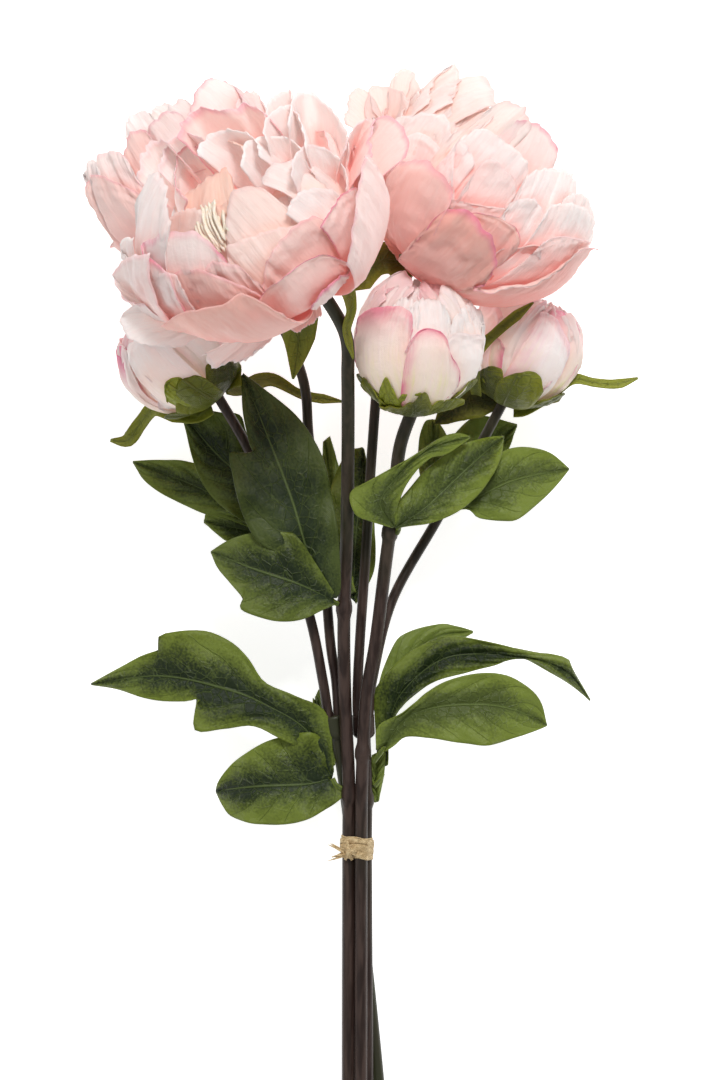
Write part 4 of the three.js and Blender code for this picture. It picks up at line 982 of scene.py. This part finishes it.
# leaflets: midrib in pixels and height in mm, both edges in pixels from the foot to the tip
leafRows = {
    "lower_left_leaf": [
        dict(mid=[(332, 778, 28), (307, 731, 31), (264, 704, 35), (226, 689, 35), (161, 676, 28),
            (91, 684, 14)],
             left=[(334, 770), (327, 714), (296, 696), (265, 682), (249, 659), (233, 643), (211, 632),
                 (192, 630), (172, 632), (159, 636), (164, 647), (141, 656), (117, 669), (92, 683)],
             right=[(330, 780), (312, 756), (278, 737), (253, 726), (223, 729), (195, 730), (197, 703),
                 (202, 697), (186, 701), (162, 701), (141, 697), (117, 689), (92, 685)]),
        dict(mid=[(332, 778, 28), (308, 784, 29), (264, 786, 28), (240, 788, 24), (216, 791, 15)],
             left=[(334, 772), (317, 734), (280, 737), (257, 746), (233, 763), (219, 780), (216, 790)],
             right=[(338, 786), (342, 797), (321, 812), (294, 823), (260, 824), (233, 817), (223, 806),
                 (216, 792)], lift=-1),
        dict(mid=[(331, 768, 26), (322, 735, 20), (315, 700, 14)], left=[(329, 768), (314, 735), (313, 698)],
             right=[(335, 765), (337, 730), (322, 690), (315, 697)], tone=0.2),
    ],
    "lower_right_leaf": [
        # the raised tone paints this leaflet lighter: painted light where the light falls on it
        dict(mid=[(385, 746, 36), (404, 720, 39), (438, 707, 43), (488, 705, 42), (520, 712, 36),
            (547, 725, 29)],
             left=[(376, 750), (378, 726), (402, 713), (430, 690), (452, 679), (480, 673), (506, 675),
                 (528, 687), (541, 702), (547, 724)],
             right=[(384, 752), (395, 745), (406, 737), (430, 738), (463, 743), (489, 745), (517, 737),
                 (535, 731), (547, 726)], tone=0.32),
    ],
    "lower_back_leaf": [
        dict(mid=[(383, 766, 23), (388, 727, 25), (404, 690, 29), (449, 657, 31), (519, 657, 30),
            (564, 670, 22), (590, 700, 9)],
             left=[(378, 762), (374, 700), (381, 680), (404, 656), (430, 641), (452, 636), (484, 641),
                 (534, 652), (552, 654), (568, 659), (573, 670), (590, 699)],
             right=[(388, 765), (392, 720), (430, 684), (469, 672), (495, 665), (519, 657), (549, 672),
                 (571, 685), (590, 701)]),
        dict(mid=[(380, 760, 18), (384, 700, 13), (413, 655, 11), (440, 636, 9), (473, 632, 7)],
             left=[(377, 755), (378, 690), (393, 646), (408, 632), (439, 624), (456, 626), (473, 631)],
             right=[(384, 755), (392, 690), (415, 668), (440, 650), (460, 640), (473, 633)], tone=0.8),
        dict(mid=[(377, 802, 20), (376, 775, 22), (380, 752, 24)], left=[(372, 802), (369, 775), (372, 755)],
             right=[(379, 800), (384, 775), (386, 753)], tone=0.8, wave=0.2),
    ],
    "upper_left_leaf": [
        dict(mid=[(329, 597, 51), (310, 560, 57), (292, 500, 60), (268, 437, 60), (243, 374, 55)],
             left=[(322, 592), (290, 560), (262, 545), (251, 532), (241, 509), (233, 476), (230, 452),
                 (253, 456), (249, 442), (243, 411), (241, 376)],
             right=[(337, 598), (341, 585), (338, 534), (331, 493), (325, 464), (313, 438), (294, 413),
                 (264, 389), (243, 373)], tone=-0.7),
        dict(mid=[(333, 600, 53), (296, 583, 58), (254, 569, 57), (211, 552, 48)],
             left=[(334, 592), (300, 540), (284, 532), (253, 533), (229, 540), (211, 551)],
             right=[(337, 604), (325, 609), (300, 620), (276, 621), (253, 615), (240, 608), (242, 597),
                 (219, 570), (211, 553)], tone=-0.3),
    ],
    "upper_back_leaf": [
        dict(mid=[(300, 529, 31), (268, 497, 31), (220, 457, 31), (182, 413, 31)],
             left=[(292, 532), (260, 530), (223, 507), (206, 489), (194, 462), (181, 412)],
             right=[(304, 520), (290, 470), (251, 440), (241, 416), (223, 413), (200, 409),
                 (182, 411)], tone=-0.3),
        dict(mid=[(300, 529, 30), (262, 520, 26), (198, 487, 19), (133, 462, 10)],
             left=[(296, 524), (250, 485), (194, 463), (162, 460), (133, 461)],
             right=[(292, 532), (260, 530), (223, 517), (205, 514), (168, 497), (145, 481),
                 (133, 463)], tone=0.1),
        dict(mid=[(300, 530, 28), (250, 530, 24), (204, 521, 20)], left=[(296, 526), (250, 512), (210, 512),
            (204, 520)],
             right=[(292, 536), (250, 545), (227, 541), (204, 523)], tone=0.1),
    ],
    "centre_leaf": [
        dict(mid=[(353, 600, 30), (356, 534, 26), (362, 490, 24), (363, 448, 22)], left=[(350, 598),
            (330, 550), (328, 500), (345, 455), (362, 447)],
             right=[(356, 604), (374, 570), (374, 519), (369, 476), (364, 449)]),
        dict(mid=[(350, 580, 29), (340, 531, 24), (331, 484, 22), (325, 440, 22)], left=[(346, 580),
            (326, 540), (322, 490), (323, 442)],
             right=[(352, 575), (350, 530), (342, 480), (330, 436)], tone=0.6),
    ],
    "upper_right_leaf": [
        dict(mid=[(395, 527, 60), (380, 503, 66), (400, 474, 70), (430, 449, 70), (470, 437, 62)],
             left=[(392, 528), (369, 521), (355, 514), (350, 493), (369, 481), (410, 458), (438, 439),
                 (456, 433), (470, 436)],
             right=[(396, 526), (398, 505), (410, 479), (429, 459), (447, 454), (470, 438)], tone=0.25),
        dict(mid=[(395, 528, 60), (425, 508, 60), (455, 480, 58), (482, 455, 54), (504, 437, 46)],
             left=[(394, 527), (397, 505), (408, 490), (429, 467), (461, 445), (490, 437), (504, 436)],
             right=[(396, 529), (403, 527), (435, 522), (463, 508), (484, 488), (500, 460),
                 (504, 438)], tone=0.15),
        dict(mid=[(410, 522, 56), (470, 500, 46), (515, 480, 42), (569, 469, 28)],
             left=[(410, 518), (463, 490), (490, 462), (504, 451), (518, 447), (534, 448), (552, 454),
                 (569, 468)],
             right=[(412, 525), (463, 509), (479, 518), (502, 521), (518, 519), (541, 501), (557, 485),
                 (569, 470)], tone=0.35),
    ],
    "upper_far_leaf": [
        dict(mid=[(436, 506, 17), (436, 470, 15), (433, 420, 14)], left=[(430, 505), (419, 470), (419, 440),
            (425, 422), (433, 419)],
             right=[(441, 505), (450, 470), (448, 440), (440, 424), (434, 419)], tone=0.5),
        dict(mid=[(437, 506, 17), (465, 475, 12), (491, 448, 10), (517, 425, 9)], left=[(434, 500),
            (440, 460), (458, 430), (480, 416), (517, 424)],
             right=[(443, 506), (480, 480), (505, 455), (517, 426)], tone=0.2),
    ],
}
# a stalk's points from the stem to its leaflets, mm
stalks = {
    "lower_left_leaf": [(-8, -114, 28.5), (-11, -112, 28.2), (-12.6, -109, 28)],
    "lower_right_leaf": [(6.2, -101, 34.5), (9.2, -97, 35), (11.3, -94, 35.5)],
    "lower_back_leaf": [(6.4, -113, 24), (9, -110, 22.5), (10.3, -107, 22.3)],
    "upper_left_leaf": [(-10, -29, 47.5), (-12.5, -27.5, 49), (-14.3, -25, 50.5)],
    "upper_back_leaf": [(-21.5, 0, 33.4), (-25, 2, 32), (-27.5, 5, 30.5)],
    "centre_leaf": [(-2.9, -24, 32.4), (-4.0, -20, 31), (-4.3, -17, 29.5)],
    "upper_right_leaf": [(16.6, 3, 55.5), (17.4, 5, 57.5), (17, 6, 60)],
    "upper_far_leaf": [(33.4, 10, 20.6), (34, 13, 18), (35, 15.5, 17)],
}
leafRng = np.random.default_rng(71)
for node, leaflets in leafRows.items():
    sheets = [leafSheet(leafRng, **row) for row in leaflets]
    buildPiece(node.replace("leaf", "leaflets"), sheets, leafCloth, [node], leafForm["wall"])
    stalk = tube(stalks[node], stalkForm["radius"], stalkForm["sides"], stalkForm["count"])
    stalk["tone"] = stalkForm["tone"]
    buildPiece(node.replace("leaf", "stalk"), [stalk], leafCloth, [])
print("leaves made")

# calyxes: cupped sepals that hug the flower, and loose strap sepals; a profile gives the share of the half
# width at shares of the length
strapForm = {"cells": (34, 11), "dish": 0.15,
             "profile": ((0, 0.6), (0.3, 1), (0.6, 0.55), (0.85, 0.6), (1, 0.12))}
cupForm = dict(ruffle=0.3, crinkle=0.05, belly=0.6, curl=0.6, crumple=0.25)
sepalForm = dict(tone=0.25, ruffle=0.4, crinkle=0.05, belly=0.5, crumple=0.25)
# grown sepals: half width, shoulder drop, and tip angle and turns on a bud and a bloom, in degrees; gap past
# the flower's reach and wall, in mm
sepalGrown = {"half": 26, "drop": 18, "bud": (118, range(-110, 111, 55)), "bloom": (145, (0, 180, 240, 300)),
              "gap": 1.5, "wall": 0.5}


def strap(midrib, half, face, tone, profile=strapForm["profile"], twist=0.0, base=(0, 0, 0)):
    # a ribbon along a smooth midrib given from its base: half width times the profile, level with the face
    # direction, turned by twist degrees from end to end, its edges lifted by a parabola
    rows, cols = strapForm["cells"]
    line = curve(np.array(midrib, float) + base, rows)
    heading = unit(np.gradient(line, axis=0))
    share = np.linspace(0, 1, rows)
    width = (half * np.interp(share, *zip(*profile)))[:, None]
    level = unit(np.cross(heading, np.array(face, float)))
    upright = np.cross(level, heading)
    angle = (np.radians(twist) * share)[:, None]
    across = np.cos(angle) * level + np.sin(angle) * upright
    up = np.cos(angle) * upright - np.sin(angle) * level
    u = np.linspace(-1, 1, cols)[None, :]
    points = line[:, None] + across[:, None] * (width * u)[:, :, None]
    points = points + up[:, None] * (strapForm["dish"] * width * u**2)[:, :, None]
    return {"points": points, "along": share[:, None], "across": u, "tone": tone}


# each calyx: its flower, cups as (shell radius mm, tone, rim in pixels) and straps by their midribs in mm
calyxes = {
    "front_bloom": (frontBloom, [], [
        dict(midrib=[(2, -2, 0), (15, -2, -4), (19, -12, -12), (17, -22, -18), (20, -34, -24)], half=4.6,
            face=(0.3, 0.2, 0.9), twist=35, tone=0.6),
        dict(midrib=[(0, -4, -8), (-3, -12, -30), (-4, -20, -44), (-5, -30, -50), (-7, -42, -52)], half=8.5,
            face=(0.1, 0.3, 0.9), tone=0.4,
             profile=[(0, 0.5), (0.45, 1), (0.7, 0.85), (0.88, 0.4), (1, 0.05)])]),
    "left_bloom": (leftBloom, [], [
        dict(midrib=[(2, -3, 3), (4, -12, 4), (2, -22, 2), (-2, -30, 0)], half=6, face=(0.1, -0.3, 1),
            tone=0.3)]),
    "right_bloom": (rightBloom, [], [
        dict(midrib=[(1, -2, 1), (-6, -1, 2), (-14, 0, 4), (-21, -5, 3), (-28, -13, 1)], half=10,
            face=(0.2, 0.4, 0.9), tone=0.2)]),
    "centre_bud": (centreBud, [
        (30.5, 0.95, [(380, 404), (380, 390), (386, 377), (393, 388), (398, 404)]),
        (30, 0.9, [(396, 404), (402, 394), (412, 393), (421, 391), (424, 402)]),
        (31.5, 0.15, [(380, 405), (400, 406), (412, 402), (424, 391), (430, 400), (432, 408)]),
        (31, 0.2, [(361, 384), (365, 377), (374, 390), (381, 398)]),
        (31, 0.4, [(428, 408), (436, 401), (450, 399), (463, 398), (464, 404)])], []),
    "right_bud": (rightBud, [
        (26, 0.15, [(474, 385), (480, 372), (490, 366), (502, 370), (504, 384)]),
        (26.5, 0.3, [(498, 394), (500, 380), (512, 374), (530, 371), (540, 376), (543, 390)])], [
        dict(midrib=[(3, -6, 0), (8, -5, 1), (17, 1, 3), (29, 9, 3), (40, 7.5, 2), (50, 7, 0), (60, 10, -5)],
            half=4.2, face=(0, 0.5, 0.85), tone=0.6),
        dict(midrib=[(-3, 1, -6), (-12, 0, -7), (-22, -3, -8), (-33, -11, -10)], half=8.5, face=(0, 0.2, 1),
            tone=0.02,
             profile=[(0, 0.6), (0.3, 1), (0.6, 0.85), (0.85, 0.45), (1, 0.03)]),
        dict(midrib=[(-14, 2, 6), (-16, 18, 22), (-5, 30, 27), (11, 43, 27)], half=4,
            face=(-0.4, -0.5, 0.75), tone=0.35)]),
    "left_bud": (leftBud, [
        (28.5, 1.0, [(168, 402), (166, 388), (169, 381), (180, 378), (190, 384)]),
        (29.5, 0.4, [(176, 410), (178, 385), (190, 376), (203, 377), (214, 388)]),
        (29, 0.05, [(206, 385), (206, 366), (216, 362), (232, 362), (240, 366), (240, 385)])], [
        dict(midrib=[(-2, -6, -3), (-9, -9, -5), (-17, -8, -8), (-28, -6, -12), (-35, -13, -17),
            (-41, -20.5, -20), (-49, -20.5, -22)], half=6, face=(0, 0.4, 0.9), tone=0.55),
        dict(midrib=[(4, 2, -5), (10, 2, -9), (24, 7, -15), (39, 0, -17), (57, -3, -15)], half=4,
            face=(0, 0.4, 0.9), tone=0.5)]),
}
for name, (flower, cups, straps) in calyxes.items():
    rng = np.random.default_rng(len(name))
    reach = flower["reach"] + sepalGrown["gap"]
    sheets = [shellPetal(flower, rimFromPicture(flower, pixels, shell), shell, rng, tone=tone, **cupForm)
              for shell, tone, pixels in cups]
    tipAngle, turns = sepalGrown[name.split("_")[1]]
    for turn in turns:
        rim = rimGrown(flower, reach, turn, sepalGrown["half"], tipAngle, sepalGrown["drop"])
        sheets.append(shellPetal(flower, rim, reach, rng, **sepalForm))
    sheets += [strap(base=flower["base"], **row) for row in straps]
    buildPiece(f"{name}_sepals", sheets, sepalCloth, [f"{name}_calyx"], sepalGrown["wall"])
print("calyxes made")

# stems: points along each in mm, and the places of its collars along Y
stemForm = {"radius": 2.95, "sides": 20, "count": 260, "sleeve": 2.1, "sleeveFrom": -91, "sleeveRise": 2,
            "collar": 0.8, "collarFall": 2.6, "collarReach": 1.6}  # a collar ends at so many times its fall
branchForm = {"radius": 2.3, "sides": 18, "count": 120}
stems = {
    "front_stem": dict(path=[(-5.4, -360, 6), (-5.4, -248, 15.5), (-5.2, -141, 24.6), (-5.1, -110, 30),
        (-6.8, -73, 37), (-7.3, -36, 44), (-6, 0, 53),
                             (-5.4, 40, 68), (-5.4, 72, 87), (-6.2, 90, 99), (-15, 106, 112), (-23, 114,
                                 123)], collars=[-31, -117]),
    "middle_stem": dict(path=[(0.4, -360, 8.6), (0.4, -248, 17.8), (0.5, -141, 27), (0.9, -110, 32.5),
        (2.8, -73, 39), (7.3, -45, 44), (11.8, -9, 51),
                              (15.4, 18, 57), (18, 42, 62), (25, 62, 71)], collars=[3.6, -97]),
    "right_stem": dict(path=[(3.4, -360, 3.1), (3.2, -248, 12), (2.8, -184, 17), (2.6, -141, 21),
        (2.6, -110, 24.6), (1.4, -80, 28)], collars=[-119], fork=True),
    "left_stem": dict(path=[(18, -360, 3.1), (8.2, -249, 6.5), (1.6, -184, 11), (-3.4, -141, 18.2),
        (-7.2, -110, 23), (-12, -80, 28)], collars=[], fork=True,
                      tone=0.6),
}
branches = {
    "right_bloom_branch": [(0.6, -87, 27.6), (-1.1, -79, 29.4), (-1, -64, 31), (0, -45, 33), (2.4, -9, 38),
        (5.4, 40, 43), (8.6, 77, 46), (14, 100, 48), (25, 128, 58)],
    "right_bud_branch": [(2.6, -87, 27.2), (4, -79, 28), (5.6, -64, 27.6), (14.6, -28, 26), (34, 7, 25),
        (52, 38, 28), (67, 66, 34)],
    "left_bud_branch": [(-12.2, -87, 28), (-14.6, -79, 30), (-17, -64, 32), (-22.6, -36, 36), (-34, 0, 42),
        (-49, 38, 48), (-66, 68, 52)],
    "left_bloom_branch": [(-10, -87, 26.4), (-10, -79, 27.8), (-11, -64, 29), (-13.7, -45, 32),
        (-17.3, 0, 37), (-23, 45, 42), (-28, 80, 46), (-56, 138, 53)],
}


def stemRadius(collars, fork):
    # plain radius, plus a rounded collar at each given place along Y, and a sleeve at a forked end
    form = stemForm

    def at(share, line):
        # the radius at each point of a stem's line
        y = line[:, 1]
        bumps = sum(ease(form["collarReach"] - np.abs(y - place) / form["collarFall"]) for place in collars)
        sleeve = ease((y - form["sleeveFrom"]) / form["sleeveRise"]) * form["sleeve"] if fork else 0
        return form["radius"] + form["collar"] * bumps + sleeve
    return at


for node, row in stems.items():
    radius = stemRadius(row["collars"], row.get("fork"))
    sheet = tube(row["path"], radius, stemForm["sides"], stemForm["count"])
    sheet["tone"] = row.get("tone", 0.0)
    buildPiece(node + "_coat", [sheet], stemCoat, [node, node + "_wire"])
for node, path in branches.items():
    sheet = tube(path, branchForm["radius"], branchForm["sides"], branchForm["count"])
    buildPiece(node + "_coat", [sheet], stemCoat, [node])
print("stems made")

# raffia: flat turns around the four stems, with a knot and two frayed tails; lengths in mm
tiedStems = np.array([(-5.3, 24.4), (0.5, 26.8), (2.6, 20.8), (-3.6, 18.2)])  # the stems' x and z at the tie
tie = {"y": -141, "stemRadius": 3.0, "slope": 0.086, "turns": 9, "first": -145, "step": 1.0,
       "unevenStep": 0.4, "waver": 0.8, "gap": (0.1, 0.7), "half": (0.7, 1.3), "cells": (60, 7),
       "furrow": 0.15, "furrows": 9, "streakLength": 6, "wall": 0.3}
knotForm = {"place": (-4.9, -142.0, 30.0), "scatter": 0.5, "loops": 7, "loopReach": (3.8, 4.2, 1.0),
            "firstTurn": 0.6, "turnStep": 0.5, "rise": (0, 0, 2.2), "half": 0.9, "face": (0, 0.2, 1),
            "twist": 60, "profile": ((0, 0.7), (0.5, 1), (1, 0.7)), "wall": 0.25}
tailForm = {"place": (-6.8, -143.4, 29.4), "scatter": 0.6, "count": 11, "length": (5, 9),
            "ways": (-0.35, 0.5), "stray": 0.15, "rise": (0, 0, 0.6), "half": 0.55, "face": (0, 0.1, 1),
            "twist": 60, "profile": ((0, 1), (0.7, 0.6), (1, 0.1))}


def bandPoint(angle, y, gap):
    # a string pulled round the stems: for each turn, the stem that lies farthest that way plus its radius;
    # the height slopes with the bunch
    way = np.stack([np.cos(angle), np.sin(angle)], -1)
    centre = tiedStems[np.argmax(way @ tiedStems.T, axis=1)]
    spot = centre + way * (tie["stemRadius"] + gap)
    return np.stack([spot[:, 0], y, spot[:, 1] + tie["slope"] * (y - tie["y"])], -1)


def bandTurn(rng, n):
    # one flat turn: a string round the stems that wavers along them, widened along the bunch and furrowed by
    # a sine
    rows, cols = tie["cells"]
    angle = np.linspace(0, 2 * math.pi, rows) + rng.uniform(0, 6)
    y = tie["first"] + n * tie["step"] + rng.uniform(-tie["unevenStep"], tie["unevenStep"])
    y = y + tie["waver"] * np.sin(angle + rng.uniform(0, 6))
    line = bandPoint(angle, y, rng.uniform(*tie["gap"]))
    u = np.linspace(-1, 1, cols)
    wide = np.array([0, 1, tie["slope"]]) * (rng.uniform(*tie["half"]) * u)[None, :, None]
    furrow = (tie["furrow"] * np.sin(u * tie["furrows"] + n))[None, :, None]
    furrow = furrow * unit(line - line.mean(0))[:, None]
    along = np.linspace(0, 1, rows)[:, None] * tie["streakLength"]
    return {"points": line[:, None] + wide + furrow, "along": along, "across": u[None, :],
            "tone": rng.uniform(0, 1)}


def knotLoop(rng, n):
    # a short ribbon over the knot, from one side to the other, each one a step further round
    form = knotForm
    start = np.array(form["place"]) + rng.normal(0, form["scatter"], 3)
    turn = form["firstTurn"] + form["turnStep"] * n
    reach = np.array([math.cos(turn), math.sin(turn), 1.0]) * form["loopReach"]
    midrib = [start - reach, start + form["rise"], start - reach * (-1, -1, 1)]
    return strap(midrib, form["half"], form["face"], n / 5, form["profile"], form["twist"])


def knotTail(rng, n):
    # a frayed end that runs out from the knot in one of two ways and narrows to its tip
    form = tailForm
    reach = rng.uniform(*form["length"])
    start = np.array(form["place"]) + rng.normal(0, form["scatter"], 3)
    way = np.array([-1, form["ways"][n % 2], -0.1]) + rng.normal(0, form["stray"], 3)
    midrib = [start, start + way * reach * 0.5 + form["rise"], start + way * reach]
    twist = rng.uniform(-form["twist"], form["twist"])
    return strap(midrib, form["half"], form["face"], rng.uniform(0, 1), form["profile"], twist)


raffiaRng = np.random.default_rng(91)
turns = [bandTurn(raffiaRng, n) for n in range(tie["turns"])]
buildPiece("raffia_turns", turns, raffiaFibre, ["raffia_tie"], tie["wall"])
knot = [knotLoop(raffiaRng, n) for n in range(knotForm["loops"])]
knot += [knotTail(raffiaRng, n) for n in range(tailForm["count"])]
buildPiece("raffia_bow", knot, raffiaFibre, ["raffia_knot"], knotForm["wall"])
print("raffia made")

# floor, lights and sky; lengths in m
floorLook = {"size": 8, "colour": (0.9, 0.9, 0.9, 1), "roughness": 0.9, "glow": 0.75}
skyLook = {"colour": (1, 1, 1, 1), "strength": 0.40}


def floorMaterial(look):
    # a plain pale ground whose glow keeps it as bright as the photo's
    material, tree, shader = nodesOf("floor")
    shader.inputs["Base Color"].default_value = look["colour"]
    shader.inputs["Roughness"].default_value = look["roughness"]
    shader.inputs["Emission Color"].default_value = skyLook["colour"]
    shader.inputs["Emission Strength"].default_value = look["glow"]
    return material


bpy.ops.mesh.primitive_plane_add(size=floorLook["size"])
floor = bpy.context.object
floor.name = "floor"
floor.data.materials.append(floorMaterial(floorLook))

lights = {
    "key": dict(place=(0.22, 1.05, 1.62), aim=(-0.02, 0.12, 0.1), size=0.5, power=21.0),
    "fill": dict(place=(-1.1, -0.2, 1.5), aim=(0, 0.1, 0.05), size=1.4, power=2.0),
}
for name, row in lights.items():
    lamp = bpy.data.objects.new(name, bpy.data.lights.new(name, "AREA"))
    lamp.data.shape = "DISK"
    lamp.data.size = row["size"]
    lamp.data.energy = row["power"]
    lamp.location = row["place"]
    aim = np.array(row["aim"]) - np.array(row["place"])
    tilt, heading = math.acos(-aim[2] / np.linalg.norm(aim)), math.atan2(aim[1], aim[0])
    lamp.rotation_euler = (tilt, 0, heading - math.pi / 2)
    scene.collection.objects.link(lamp)
sky = bpy.data.worlds.new("studio")
sky.use_nodes = True
sky.node_tree.nodes["Background"].inputs["Color"].default_value = skyLook["colour"]
sky.node_tree.nodes["Background"].inputs["Strength"].default_value = skyLook["strength"]
scene.world = sky
print("lights set")
